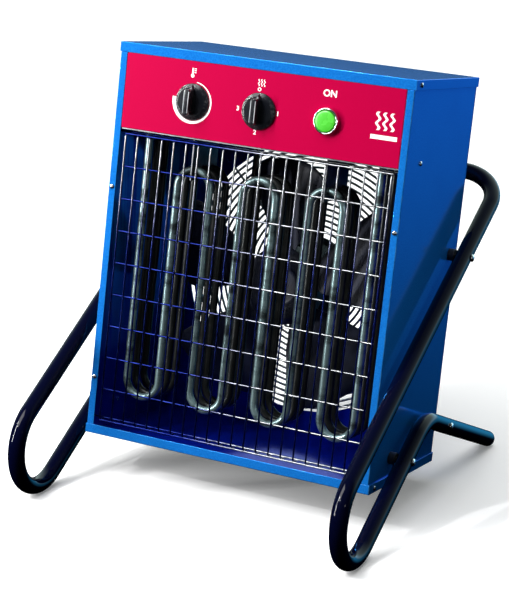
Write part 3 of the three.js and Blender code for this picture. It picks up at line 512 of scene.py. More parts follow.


# The grille's lower left is painted dark blue: painted reflection and painted shade.
GRILLE_WIRE = bright_metal("grille_wire", (0.42, 0.43, 0.43), (0.18, 0.19, 0.21), 0.24, 7,
                           painted_reflection=((0.004, 0.007, 0.07), (0.012, 0.022, 0.15)))
GUARD_WIRE = bright_metal("guard_wire", (0.38, 0.39, 0.40), (0.16, 0.17, 0.20), 0.24, 7)
SCREW_STEEL = bright_metal("screw_steel", (0.80, 0.80, 0.82), (0.55, 0.55, 0.58), 0.16, 2)
SHAFT_STEEL = bright_metal("shaft_steel", (0.70, 0.70, 0.72), (0.45, 0.45, 0.47), 0.22, 4)
ZINC_STEEL = bright_metal("zinc_steel", (0.22, 0.23, 0.25), (0.12, 0.13, 0.14), 0.38, 14)
SENSOR_METAL = bright_metal("sensor_metal", (0.34, 0.22, 0.15), (0.20, 0.13, 0.09), 0.34, 6)
BEZEL_CHROME = bright_metal("bezel_chrome", (0.86, 0.87, 0.89), (0.74, 0.75, 0.78), 0.07, 5)


def element_steel():
    finish = Finish("element_steel")
    bands = finish.noise(16, 3.0, stretch=(0.25, 0.25, 1))
    scale = finish.noise(1.2, 4.0, 0.6)
    heat = finish.steps(bands * 0.75 + scale * 0.25, 0.36, 0.56)
    # The rows behind the first are painted darker by depth: painted shade.
    rear_rows_painted_shade = finish.steps(finish.along(DEPTH_AXIS), FIRST_ROW_DEPTH, FIRST_ROW_DEPTH + 8)
    element_tone = finish.mix(heat, (0.018, 0.026, 0.028), (0.22, 0.32, 0.33))
    tone = finish.mix(rear_rows_painted_shade, element_tone, (0.018, 0.020, 0.020))
    gloss = 0.46 - 0.16 * heat
    return finish.close(tone, gloss, finish.bump(scale, 0.04), Metallic=0.75)


def blade_metal():
    finish = Finish("fan_metal")
    film = finish.noise(20, 4.0)
    grain = finish.noise(0.9, 2.0)
    tone = finish.mix(finish.steps(film, 0.35, 0.7), (0.003, 0.005, 0.012), (0.010, 0.014, 0.034))
    return finish.close(tone, 0.48 + 0.2 * film, finish.bump(grain, 0.02), Metallic=0.2)


ELEMENT_STEEL = element_steel()
FAN_METAL = blade_metal()


# %% [markdown]
# ### Plastics and rubber
#
# Moulded plastic has a very fine spark-eroded grain and hardly any colour change. The knobs are
# glossier than the switch bodies, and the green button's cap is almost smooth.


# %% Plastics
def moulded(name, colour, shade, roughness, grain_mm, grain_depth):
    finish = Finish(name)
    grain = finish.noise(grain_mm, 2.0)
    cloud = finish.noise(12, 3.0)
    tone = finish.mix(finish.steps(cloud, 0.3, 0.7), shade, colour)
    wear_and_sheen = finish.edges() * finish.steps(finish.noise(4, 3.0), 0.45, 0.8) * 0.35
    pale = tuple(min(1, 0.08 + 1.3 * part) for part in colour)
    tint = finish.mix(wear_and_sheen, tone, pale)
    gloss = roughness + 0.10 * cloud
    return finish.close(tint, gloss, finish.bump(grain, grain_depth))


PLASTICS = {
    "knob_plastic": ((0.008, 0.009, 0.012), (0.005, 0.006, 0.009), 0.12, 0.6, 0.004),
    # The pale grey rib finish next is a painted highlight along the knob's grip.
    "knob_edge": ((0.34, 0.36, 0.38), (0.20, 0.21, 0.23), 0.30, 0.6, 0.006),
    "switch_plastic": ((0.26, 0.27, 0.28), (0.20, 0.21, 0.22), 0.45, 0.5, 0.02),
    "button_plastic": ((0.066, 0.46, 0.034), (0.048, 0.40, 0.024), 0.22, 0.8, 0.003),
    "terminal_plastic": ((0.68, 0.63, 0.50), (0.6, 0.55, 0.42), 0.45, 0.5, 0.02),
    "black_plastic": ((0.012, 0.012, 0.013), (0.008, 0.008, 0.009), 0.38, 0.5, 0.02),
    "spacer_plastic": ((0.010, 0.011, 0.015), (0.007, 0.007, 0.010), 0.34, 0.5, 0.02),
    "plug_rubber": ((0.014, 0.014, 0.015), (0.009, 0.009, 0.010), 0.58, 0.4, 0.03),
    "white_print": ((0.86, 0.85, 0.84), (0.80, 0.79, 0.79), 0.45, 0.4, 0.002),
}
PLASTIC = {name: moulded(name, *values) for name, values in PLASTICS.items()}
print("finishes:", len(bpy.data.materials))

# %% [markdown]
# ## The bench
#
# Pieces are made in casing millimetres and are carried to the room in one place, `hand_over`,
# which also takes the nodes of the model that the piece stands for, which it hides, and the body
# that it moves with.
# `worked` runs modifiers over a mesh and gives back the result, so that a finished piece
# carries no modifier.

# %% Bench helpers
bench_scene = bpy.context.scene.collection.objects


def evaluated(obj):
    """The object's mesh with its modifiers applied; the object itself is taken away."""
    bpy.context.view_layer.update()
    graph = bpy.context.evaluated_depsgraph_get()
    result = bpy.data.meshes.new_from_object(obj.evaluated_get(graph))
    obj.modifiers.clear()
    bpy.data.objects.remove(obj)
    return result


def worked(mesh, *modifiers):
    obj = bpy.data.objects.new("bench", mesh)
    bench_scene.link(obj)
    for kind, settings in modifiers:
        modifier = obj.modifiers.new(kind.lower(), kind)
        for name, value in settings.items():
            setattr(modifier, name, value)
    return evaluated(obj)


def smooth(mesh, degrees=38):
    mesh.shade_smooth()
    mesh.set_sharp_from_angle(angle=math.radians(degrees))
    return mesh


def closed(mesh, distance):
    """Merges the mesh's doubles and turns its faces outwards."""
    shape = bmesh.new()
    shape.from_mesh(mesh)
    bmesh.ops.remove_doubles(shape, verts=shape.verts, dist=distance)
    bmesh.ops.recalc_face_normals(shape, faces=shape.faces)
    shape.to_mesh(mesh)
    shape.free()
    return mesh


def mesh_of(points, faces):
    mesh = bpy.data.meshes.new("shape")
    mesh.from_pydata([tuple(point) for point in points], [], faces)
    return closed(mesh, 0.001)


class Piece:
    """Collects the solids of one piece, each with its finish, in casing millimetres."""

    def __init__(self, name):
        self.name = name
        self.shape = bmesh.new()
        self.shape.verts.layers.float.new("edge")
        self.finishes = []

    def add(self, mesh, finish, place=Matrix.Identity(4)):
        if finish not in self.finishes:
            self.finishes.append(finish)
        mesh.transform(place)
        if place.determinant() < 0:
            mesh.flip_normals()
        slot = self.finishes.index(finish)
        mesh.polygons.foreach_set("material_index", [slot] * len(mesh.polygons))
        self.shape.from_mesh(mesh)
        return self

    def hand_over(self, *nodes, body="casing", slot=None):
        """Carries the piece from the casing's frame to the room, hides the nodes that it stands for
        and attaches it to its body.
        """
        mesh = bpy.data.meshes.new(self.name)
        self.shape.to_mesh(mesh)
        self.shape.free()
        for finish in self.finishes:
            mesh.materials.append(finish)
        mesh.transform(TO_ROW)
        obj = bpy.data.objects.new(self.name, mesh)
        bench_scene.link(obj)
        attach(obj, body)
        if nodes:
            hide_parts(*nodes)
        print(f"{self.name}: {len(mesh.polygons)} faces")


# %% [markdown]
# ## Folded sheet
#
# Every panel is folded from 1.2 mm sheet. The model has them with knife edges. A real fold has
# an outer radius a little over the sheet's thickness, and a sheared edge is only broken. So a
# copy of each panel gets a bevel whose width is weighted: full on an edge between two broad
# faces, which is a fold, and small on the rim of the sheet. The bevel is also marked: paint
# turns paler there as a painted highlight, and plastic shows wear there.

# %% Panels with round folds
FOLD_R = 1.5
RIM_SHARE = 0.22
BROAD_FACE = 700
EDGE_MARK_FACE = 400
SHARP = math.radians(30)


def eased(node, fold=FOLD_R, rim_share=RIM_SHARE):
    """A copy of a node, in casing millimetres, with its convex edges rounded."""
    shape = bmesh.new()
    shape.from_mesh(NODES[node].data)
    shape.transform(TO_CASING)
    bmesh.ops.remove_doubles(shape, verts=shape.verts, dist=0.005)
    bmesh.ops.dissolve_limit(shape, angle_limit=math.radians(1), verts=shape.verts,
                             edges=shape.edges)
    weight = shape.edges.layers.float.new("bevel_weight_edge")
    for edge in shape.edges:
        if len(edge.link_faces) != 2 or edge.calc_face_angle_signed(0) < SHARP:
            continue
        is_fold = min(face.calc_area() for face in edge.link_faces) > BROAD_FACE
        edge[weight] = 1.0 if is_fold else rim_share
    mesh = bpy.data.meshes.new(node)
    shape.to_mesh(mesh)
    shape.free()
    mesh = worked(mesh, ("BEVEL", {"limit_method": "WEIGHT", "width": fold, "segments": 4,
                                   "miter_outer": "MITER_ARC"}))
    mark_edges(mesh)
    smooth(mesh)
    return worked(mesh, ("WEIGHTED_NORMAL", {"keep_sharp": True}))


def mark_edges(mesh):
    """Writes 1 on points inside a rounding, 0 on points that border a broad face."""
    shape = bmesh.new()
    shape.from_mesh(mesh)
    edge_layer = shape.verts.layers.float.get("edge") or shape.verts.layers.float.new("edge")
    for vert in shape.verts:
        turning = max((edge.calc_face_angle(0) for edge in vert.link_edges), default=0)
        widest = max((face.calc_area() for face in vert.link_faces), default=0)
        vert[edge_layer] = float(turning > math.radians(15) and widest < EDGE_MARK_FACE)
    shape.to_mesh(mesh)
    shape.free()


PANELS = ("top_cover", "bottom_cover", "left_side_panel", "right_side_panel", "rear_panel")
for panel in PANELS:
    Piece(f"{panel}_painted").add(eased(panel), CASING_PAINT).hand_over(panel)
Piece("control_panel").add(eased("control_fascia"), FASCIA_PAINT).hand_over("control_fascia")
for sheet in ("control_box_floor", "left_element_hanger", "right_element_hanger"):
    Piece(f"{sheet}_zinc").add(eased(sheet, fold=1.0), ZINC_STEEL).hand_over(sheet)

# %% [markdown]
# ## Turned shapes
#
# Knob skirts, bezels, spacers, plugs and the motor are all turned: a profile of radius and
# depth, swept round an axis that runs from front to back. Points on the axis close the ends.

# %% Turning and cutting out
ROUND = 64


def polar(radius, degrees):
    """Across and up at an angle from the direction across."""
    angle = math.radians(degrees)
    return radius * math.cos(angle), radius * math.sin(angle)


def turned(profile, sides=ROUND):
    """A closed mesh turned about the Y axis from [radius, depth] points."""
    points, faces = [], []
    for radius, depth in profile:
        for i in range(sides):
            x, z = polar(radius, 360 * i / sides)
            points.append((x, depth, z))
    for ring in range(len(profile) - 1):
        for i in range(sides):
            j = (i + 1) % sides
            a, b = ring * sides, (ring + 1) * sides
            faces.append((a + i, a + j, b + j, b + i))
    return mesh_of(points, faces)


def rounded_corners(corners, radius, steps=4):
    """Rounds the corners of a [radius, depth] profile that are marked with True."""
    result = []
    for i, (x, y, is_round) in enumerate(corners):
        here = Vector((x, y))
        if not is_round:
            result.append((x, y))
            continue
        before = Vector(corners[i - 1][:2]) - here
        after = Vector(corners[(i + 1) % len(corners)][:2]) - here
        reach = min(radius, before.length / 2, after.length / 2)
        start = here + before.normalized() * reach
        end = here + after.normalized() * reach
        for step in range(steps + 1):
            t = step / steps
            point = (1 - t) ** 2 * start + 2 * t * (1 - t) * here + t * t * end
            result.append((point.x, point.y))
    return result


def slab(outline, front, back):
    """A plate cut to an outline of (x, z) points, from one depth to another."""
    count = len(outline)
    points = [(x, front, z) for x, z in outline] + [(x, back, z) for x, z in outline]
    faces = [tuple(range(count)), tuple(range(2 * count - 1, count - 1, -1))]
    faces += [(i, (i + 1) % count, (i + 1) % count + count, i + count) for i in range(count)]
    return mesh_of(points, faces)


def at(x, y, z):
    return Matrix.Translation((x, y, z))


# %% [markdown]
# ## Knobs
#
# Each knob has a bevelled skirt, a flat face, a tall bar grip and a pointed nose that shows the
# setting. Two ribs run along the top of the bar, painted pale grey as a painted highlight: from
# the front they are the two thin light lines on each knob. The skirt's bevel is ringed with fine
# grooves.

# %% The two knobs
fascia_front = extent("control_fascia")[0].y
knob_low, knob_high = extent("selector_knob")
KNOB_R = (knob_high.x - knob_low.x) / 2
KNOB_AXIS_Z = knob_low.z + KNOB_R
KNOB_FRONT = knob_low.y
KNOB_BACK = -0.6
SKIRT_H = 3.4
FACE_R = 15.5
GRIP_W = 7.0
GRIP_L = 28.0
NOSE_H = 5.0
NOSE_REACH = 19.2
SPINDLE_R = 3.0
SPINDLE_END = 15.5
TIP_STEPS = 8
TIP_FLAT = 0.45
RIB_W = 0.9
RIB_H = 0.35
RIB_EDGE = GRIP_W / 2 * 0.88
GROOVES = 5


def grip_bar():
    """The bar: straight sides that lean in a little, rounded ends, eased edges."""
    outline = []
    tip_r = GRIP_W / 2
    for end, start_angle in ((1, 0), (-1, 180)):
        for step in range(TIP_STEPS + 1):
            x, rise = polar(tip_r, start_angle + 180 * step / TIP_STEPS)
            outline.append((x, end * (GRIP_L / 2 - tip_r * TIP_FLAT) + TIP_FLAT * rise))
    bar = slab(outline, KNOB_FRONT + RIB_H, KNOB_BACK - SKIRT_H + 0.3)
    for vertex in bar.vertices:
        depth_share = (vertex.co.y - KNOB_FRONT) / (KNOB_BACK - KNOB_FRONT)
        vertex.co.x *= 0.90 + 0.16 * depth_share
    return worked(bar, ("BEVEL", {"width": 0.5, "segments": 3, "angle_limit": SHARP}))


def grip_rib(side):
    """A rounded rib along one long edge of the bar's top; its pale grey finish is a painted
    highlight.
    """
    near, far = sorted((side * (RIB_EDGE - RIB_W), side * RIB_EDGE))
    reach = GRIP_L / 2 - 2.4
    rib = slab([(near, -reach), (far, -reach), (far, reach), (near, reach)], KNOB_FRONT,
               KNOB_FRONT + 2 * RIB_H)
    return worked(rib, ("BEVEL", {"width": 0.2, "segments": 3, "angle_limit": SHARP}))


def nose():
    """A wedge from the bar's end to the pointed mark, with a ridge down its middle."""
    face = KNOB_BACK - SKIRT_H + 0.3
    near = GRIP_L / 2 - 2
    half = GRIP_W / 2
    points = [(-half, face, near), (half, face, near), (half, face, GRIP_L / 2),
              (0, face, NOSE_REACH), (-half, face, GRIP_L / 2),
              (-half * 0.7, face - NOSE_H, near), (half * 0.7, face - NOSE_H, near),
              (0, face - NOSE_H * 0.35, NOSE_REACH - 1.6)]
    faces = [(0, 1, 2, 3, 4), (0, 5, 6, 1), (1, 6, 2), (6, 7, 2), (2, 7, 3), (3, 7, 4), (4, 7, 5),
             (0, 4, 5), (5, 7, 6)]
    wedge = mesh_of(points, faces)
    return worked(wedge, ("BEVEL", {"width": 0.25, "segments": 2, "angle_limit": SHARP / 2}))


def knob_skirt():
    face = KNOB_BACK - SKIRT_H
    profile = [(0, face)]
    for i in range(GROOVES):
        t = i / GROOVES
        radius = FACE_R + (KNOB_R - FACE_R) * t
        depth = face + SKIRT_H * 0.66 * t
        profile += [(radius, depth), (radius + 0.45, depth + 0.02), (radius + 0.6, depth + 0.22)]
    rim = KNOB_BACK - SKIRT_H / 3
    profile += [(KNOB_R - 0.35, rim - 0.2), (KNOB_R, rim + 0.3), (KNOB_R, KNOB_BACK),
                (SPINDLE_R, KNOB_BACK), (SPINDLE_R, SPINDLE_END), (0, SPINDLE_END)]
    return turned(profile, 96)


def knob(name, node):
    centre = middle(node)
    place = at(centre.x, 0, KNOB_AXIS_Z)
    piece = Piece(name)
    for part in (knob_skirt(), grip_bar(), nose()):
        mark_edges(part)
        piece.add(smooth(part), PLASTIC["knob_plastic"], place)
    # The ribs' pale grey is a painted highlight along the grip's edges.
    for side in (-1, 1):
        piece.add(smooth(grip_rib(side)), PLASTIC["knob_edge"], place)
    piece.hand_over(node, body=node)


knob("thermostat_knob_moulded", "thermostat_knob")
knob("selector_knob_moulded", "selector_knob")

# %% [markdown]
# ## Start button
#
# A chromed ring screwed over the panel, with a green cap that stands a little proud of it. The
# dark gap between them is what makes the cap read as a separate, moving piece.

# %% Bezel and cap
bezel_low, bezel_high = extent("start_button_bezel")
cap_low, cap_high = extent("start_button_cap")
BEZEL_R = (bezel_high.x - bezel_low.x) / 2
CAP_R = (cap_high.x - cap_low.x) / 2
BUTTON_X = (bezel_low.x + bezel_high.x) / 2
CAP_GAP = 0.7
BORE_R = CAP_R + CAP_GAP
PLUNGER_R = 7.6
BARREL_R = 11.0
BEZEL_FLOOR = -1.5
CAP_FOOT = -4.6
guide_r = PLUNGER_R + 0.3
bezel_profile = rounded_corners([
    (guide_r, BEZEL_FLOOR, False), (BORE_R, BEZEL_FLOOR, False), (BORE_R, bezel_low.y, True),
    (BEZEL_R - 0.4, bezel_low.y, True), (BEZEL_R, bezel_low.y + 2.6, True),
    (BEZEL_R, -0.3, False), (BARREL_R, -0.3, False), (BARREL_R, bezel_high.y, False),
    (guide_r, bezel_high.y, False), (guide_r, BEZEL_FLOOR, False)], 0.9)
button_place = at(BUTTON_X, 0, KNOB_AXIS_Z)
Piece("start_button_ring").add(
    smooth(turned(bezel_profile)), BEZEL_CHROME, button_place).hand_over("start_button_bezel")

CAP_CROWN = ((0, 0), (0.35, 0.04), (0.65, 0.16), (0.86, 0.38), (0.95, 0.62), (1, 1.1))
cap_profile = [(CAP_R * share, cap_low.y + drop) for share, drop in CAP_CROWN]
cap_profile += [(CAP_R, CAP_FOOT), (PLUNGER_R, CAP_FOOT), (PLUNGER_R, cap_high.y), (0, cap_high.y)]
green_cap = Piece("start_button_green_cap")
green_cap.add(smooth(turned(cap_profile)), PLASTIC["button_plastic"], button_place)
green_cap.hand_over("start_button_cap", body="start_button")

# %% [markdown]
# ## Printed marks
#
# White marks are screen printed on the control panel: a swelling arc round the thermostat knob,
# a thermometer, heat waves over the selector with plain numbers for its settings, ON above the
# button, and a sign for warm air at the right. They are made as real ink, a few hundredths of a
# millimetre thick, so that they hold at any angle.

# %% Marks on the control panel
INK = 0.06
DISC_SIDES = 24
DIGIT_H = 4.8
WORD_H = 7.0
marks = Piece("printed_marks")
thermostat_x = middle("thermostat_knob").x
selector_x = middle("selector_knob").x


def ink(outline):
    marks.add(slab(outline, fascia_front - INK, fascia_front + INK), PLASTIC["white_print"])


def dial_point(radius, clock_degrees, centre_x):
    up, across = polar(radius, clock_degrees)
    return centre_x + across, KNOB_AXIS_Z + up


def swelling_arc():
    """Thin at the top, widening clockwise to a blunt end before it has gone right round."""
    start, end, steps = 8, 279, 72
    outer, inner = [], []
    for i in range(steps + 1):
        t = i / steps
        clock = start + (end - start) * t
        outer.append(dial_point(22.1 + 2.6 * t, clock, thermostat_x))
        inner.append(dial_point(21.3 - 0.9 * t, clock, thermostat_x))
    for i in range(steps):
        ink([outer[i], outer[i + 1], inner[i + 1], inner[i]])


def disc(x, z, radius):
    rim = (polar(radius, 360 * i / DISC_SIDES) for i in range(DISC_SIDES))
    return [(x + across, z + up) for across, up in rim]


def ring(x, z, outer, inner):
    rims = disc(x, z, outer), disc(x, z, inner)
    for i in range(DISC_SIDES):
        j = (i + 1) % DISC_SIDES
        ink([rims[0][i], rims[0][j], rims[1][j], rims[1][i]])


def wave(x, z, length, swing, width):
    """A ribbon that swings twice to each side along its length."""
    steps = 20
    edges = [[], []]
    for i in range(steps + 1):
        t = i / steps
        along = (t - 0.5) * length
        across = swing * math.sin(4 * math.pi * t)
        for edge, side in zip(edges, (-0.5, 0.5)):
            edge.append((x + across + side * width, z + along))
    for i in range(steps):
        ink([edges[0][i], edges[0][i + 1], edges[1][i + 1], edges[1][i]])


def bar(x0, z0, x1, z1):
    ink([(x0, z0), (x1, z0), (x1, z1), (x0, z1)])


def printed(text, x, z, height):
    """Characters centred on a point of the panel."""
    data = bpy.data.curves.new("print", "FONT")
    data.body = text
    data.size = height / 0.7
    data.align_x = "CENTER"
    data.align_y = "CENTER"
    data.extrude = INK
    data.resolution_u = 4
    data.offset = height * 0.035
    obj = bpy.data.objects.new("print", data)
    bench_scene.link(obj)
    mesh = evaluated(obj)
    marks.add(mesh, PLASTIC["white_print"], at(x, fascia_front, z) @ turn(90, "X"))


swelling_arc()
x, z = thermostat_x - 3, KNOB_AXIS_Z + 31.5
ink(disc(x, z - 3.4, 2.0))
bar(x - 0.95, z - 1.7, x + 0.95, z + 5)
for i in range(3):
    rung = z - 0.2 + 2.1 * i
    bar(x + 1.9, rung, x + 4.3, rung + 0.8)
for i in range(3):
    wave(selector_x - 3.2 + 3.2 * i, KNOB_AXIS_Z + 30.5, 7.6, 0.7, 1.0)
ring(selector_x - 2, KNOB_AXIS_Z + 23.4, 2.1, 1.15)
printed("1", selector_x + 22.2, KNOB_AXIS_Z, DIGIT_H)
printed("2", selector_x - 2.5, KNOB_AXIS_Z - 22.8, DIGIT_H)
printed("3", selector_x - 25.2, KNOB_AXIS_Z, DIGIT_H)
printed("ON", BUTTON_X, KNOB_AXIS_Z + 29, WORD_H)
x, z = 145.0, KNOB_AXIS_Z + 5
for i in range(3):
    wave(x - 8 + 8 * i, z + 3, 19, 1.7, 3.0)
bar(x - 15, z - 16, x + 15, z - 11.5)
marks.hand_over(slot="fascia_paint")

# %% [markdown]
# ## Growing pieces with Geometry Nodes
#
# Nets, rings, rows of screws and bent tubes follow a rule, so a tree can grow them. A `Growth`
# is a tree with named inputs. `grow` puts it on a base mesh, sets the inputs by their socket
# identifiers before the object is first evaluated, and keeps the resulting mesh alone.


# %% Growth
class Growth(Sheet):
    def __init__(self, name):
        super().__init__(bpy.data.node_groups.new(name, "GeometryNodeTree"))
        self.identifiers = {}
        self.base = self.input("Base", "NodeSocketGeometry")

    def input(self, name, kind="NodeSocketFloat"):
        item = self.tree.interface.new_socket(name, in_out="INPUT", socket_type=kind)
        self.identifiers[name] = item.identifier
        return self.node("NodeGroupInput", output=name)

    def join(self, *parts):
        return self.node("GeometryNodeJoinGeometry", {}, {"Geometry": list(parts)})

    def xyz(self, x=0.0, y=0.0, z=0.0):
        return self.node("ShaderNodeCombineXYZ", {}, {"X": x, "Y": y, "Z": z})

    def row(self, count, start, step):
        """Points in a straight row."""
        values = {"Count": count, "Start Location": start, "Offset": step}
        return self.node("GeometryNodeMeshLine", {"mode": "OFFSET"}, values)

    def circle(self, radius, sides):
        values = {"Resolution": sides, "Radius": radius}
        return self.node("GeometryNodeCurvePrimitiveCircle", {}, values)

    def line(self, mesh):
        """The edges of a mesh as curves."""
        return self.node("GeometryNodeMeshToCurve", {}, {"Mesh": mesh})

    def fillet(self, curve, radius, steps):
        values = {"Curve": curve, "Radius": radius, "Count": steps, "Limit Radius": True}
        return self.node("GeometryNodeFilletCurve", {"mode": "POLY"}, values)

    def straight(self, start, end):
        values = {"Start": start, "End": end}
        return self.node("GeometryNodeCurvePrimitiveLine", {}, values)

    def wire(self, curve, radius, sides):
        values = {"Curve": curve, "Profile Curve": self.circle(radius, sides), "Fill Caps": True}
        return self.node("GeometryNodeCurveToMesh", {}, values)

    def scatter(self, points, instance, **values):
        values = {"Points": points, "Instance": instance, **values}
        return self.node("GeometryNodeInstanceOnPoints", {}, values)

    def real(self, geometry):
        return self.node("GeometryNodeRealizeInstances", {}, {"Geometry": geometry})

    def close(self, geometry):
        finish = self.input("Finish", "NodeSocketMaterial")
        self.tree.interface.new_socket("Result", in_out="OUTPUT", socket_type="NodeSocketGeometry")
        values = {"Geometry": self.real(geometry), "Material": finish}
        result = self.node("GeometryNodeSetMaterial", {}, values)
        self.node("NodeGroupOutput", {}, {"Result": result})


def path_mesh(points):
    """A bare line through points, for a tree to follow."""
    mesh = bpy.data.meshes.new("path")
    edges = [(i, i + 1) for i in range(len(points) - 1)]
    mesh.from_pydata([tuple(point) for point in points], edges, [])
    return mesh


def grow(growth, base, **values):
    obj = bpy.data.objects.new("grown", base)
    bench_scene.link(obj)
    modifier = obj.modifiers.new("growth", "NODES")
    modifier.node_group = growth.tree
    for name, value in values.items():
        modifier[growth.identifiers[name.replace("_", " ")]] = value
    return closed(evaluated(obj), 0.0005)


# %% [markdown]
# ## Bent tubes
#
# The stand and the elements are tubes bent on a former: straight runs joined by arcs of one
# radius. The tree takes the corners, rounds them with Fillet Curve and runs a circle along them.

# %% The bent tube's tree
bent_tube = Growth("bent_tube")
bend_radius = bent_tube.input("Bend Radius")
bend_steps = bent_tube.input("Bend Steps", "NodeSocketInt")
rounded_line = bent_tube.fillet(bent_tube.line(bent_tube.base), bend_radius, bend_steps)
tube_radius = bent_tube.input("Tube Radius")
tube_sides = bent_tube.input("Sides", "NodeSocketInt")
bent_tube.close(bent_tube.wire(rounded_line, tube_radius, tube_sides))


def bent(points, bend_r, tube_r, finish, steps, sides):
    return grow(bent_tube, path_mesh(points), Bend_Radius=bend_r, Bend_Steps=steps,
                Tube_Radius=tube_r, Sides=sides, Finish=finish)


# %% [markdown]
# ## Stand
#
# One tube, nearly a metre and a half a side: from a plugged tail behind, forward under the
# casing's side, round the front bend that stands on the floor, up and back beside the casing,
# across behind it as the handle, and down the other side the same way. Its arms are parallel,
# so two distances and one angle place them.

# %% Stand tube, tail plugs and spacers
TUBE_R = 9.5
BEND_R = 50
ARM_ANGLE = math.radians(37.57)
TAIL_ANGLE = math.radians(15.48)
UPPER_ARM = 90.91
LOWER_ARM = UPPER_ARM - 2 * BEND_R
FRONT_REACH = 106.3
HANDLE_REACH = 422.4
TAIL_START = 125.3
TAIL_LEN = 248
STAND_X = extent("stand_frame")[1].x - TUBE_R


def arm_point(x, off, along):
    return Vector((x, along * math.cos(ARM_ANGLE) - off * math.sin(ARM_ANGLE),
                   along * math.sin(ARM_ANGLE) + off * math.cos(ARM_ANGLE)))


def tail_point(x, along):
    corner = arm_point(x, LOWER_ARM, TAIL_START)
    return corner + Vector((0, along * math.cos(TAIL_ANGLE), -along * math.sin(TAIL_ANGLE)))


def stand_side(x):
    return [tail_point(x, TAIL_LEN), tail_point(x, 0), arm_point(x, LOWER_ARM, -FRONT_REACH),
            arm_point(x, UPPER_ARM, -FRONT_REACH), arm_point(x, UPPER_ARM, HANDLE_REACH)]


stand_line = stand_side(STAND_X) + stand_side(-STAND_X)[::-1]
stand_mesh = smooth(bent(stand_line, BEND_R, TUBE_R, TUBE_PAINT, steps=24, sides=40))
Piece("stand_tube").add(stand_mesh, TUBE_PAINT).hand_over("stand_frame")

PLUG_RIM = 2
PLUG_DOME = 4
PLUG_STEPS = 8
PLUG_SIDES = 40
SPACER_BORE_R = 2.8
SPACER_SIDES = 32
plug_profile = [(0, -12), (6.6, -12), (6.9, -11), (7.2, -0.2), (TUBE_R - 0.3, 0), (TUBE_R, 0.3),
                (TUBE_R, PLUG_RIM)]
for step in range(1, PLUG_STEPS + 1):
    across, rise = polar(1, 90 * step / PLUG_STEPS)
    plug_profile.append((TUBE_R * across, PLUG_RIM + PLUG_DOME * rise))
for side, sign in (("left", -1), ("right", 1)):
    end = tail_point(sign * STAND_X, TAIL_LEN + 0.3)
    place = at(*end) @ Matrix.Rotation(-TAIL_ANGLE, 4, "X")
    plug = Piece(f"{side}_tail_rubber")
    plug.add(smooth(turned(plug_profile, PLUG_SIDES)), PLASTIC["plug_rubber"], place)
    plug.hand_over(f"{side}_tail_plug")

STAND_BOLTS = ("upper", "lower", "tail")
for side in ("left", "right"):
    for level in STAND_BOLTS:
        node = f"{side}_{level}_spacer"
        low, high = extent(node)
        radius, half = (high.z - low.z) / 2, (high.x - low.x) / 2
        collar = rounded_corners([(SPACER_BORE_R, -half, False), (radius, -half, True),
                                  (radius, half, True), (SPACER_BORE_R, half, False),
                                  (SPACER_BORE_R, -half, False)], 0.7)
        place = at(*((low + high) / 2)) @ turn(90, "Z")
        spacer = Piece(f"{node}_moulded")
        spacer.add(smooth(turned(collar, SPACER_SIDES)), PLASTIC["spacer_plastic"], place)
        spacer.hand_over(node)

# %% [markdown]
# ## Heating elements
#
# Each row is one sheathed tube, bent into eight legs. Its two ends pass through the control
# box's floor in brazed collars and end in threaded terminals.

# %% Three rows of elements
ELEMENT_R = 4.25
LEG_PITCH = 40
LEGS = 8
COLLAR_R = 7
COLLAR_H = 4
TERMINAL_R = 2
THREADS = 8
THREAD_PITCH = 1.4
first_x = -LEG_PITCH * (LEGS - 1) / 2
box_floor_top = extent("overheat_cutout")[0].z
collar_top = box_floor_top + COLLAR_H
bend_top = extent("left_element_hanger")[0].z + ELEMENT_R + 7
for row in ("front", "middle", "rear"):
    node = f"heating_element_{row}"
    low, high = extent(node)
    y = (low.y + high.y) / 2
    bend_foot = low.z + ELEMENT_R
    line = [Vector((first_x, y, collar_top))]
    for leg in range(LEGS):
        x = first_x + LEG_PITCH * leg
        ends = [Vector((x, y, bend_foot)), Vector((x, y, bend_top))]
        if leg in (0, LEGS - 1):
            line.append(ends[0])
        else:
            line += ends if leg % 2 else ends[::-1]
    line.append(Vector((-first_x, y, collar_top)))
    element = Piece(f"{node}_sheath")
    sheath = bent(line, LEG_PITCH / 2 - 0.02, ELEMENT_R, ELEMENT_STEEL, steps=14, sides=20)
    element.add(smooth(sheath), ELEMENT_STEEL)
    for x in (first_x, -first_x):
        collar = [(0, 0), (COLLAR_R - 0.5, 0), (COLLAR_R, 0.5), (COLLAR_R, COLLAR_H - 0.5),
                  (COLLAR_R - 0.5, COLLAR_H), (TERMINAL_R, COLLAR_H)]
        for thread in range(THREADS):
            base = COLLAR_H + THREAD_PITCH * thread
            collar += [(TERMINAL_R, base + 0.1), (TERMINAL_R - 0.35, base + 0.75)]
        collar += [(TERMINAL_R, high.z - box_floor_top), (0, high.z - box_floor_top)]
        upright = at(x, y, box_floor_top) @ turn(90, "X")
        element.add(smooth(turned(collar, 24)), ELEMENT_STEEL, upright)
    element.hand_over(node)

# %% [markdown]
# ## Front grille
#
# The grille is a welded net. Its uprights are in front, and both ends of each are bent back
# into the duct; its cross wires lie behind them. The tree grows one row of bent uprights and
# one row of straight wires, with the same wire.

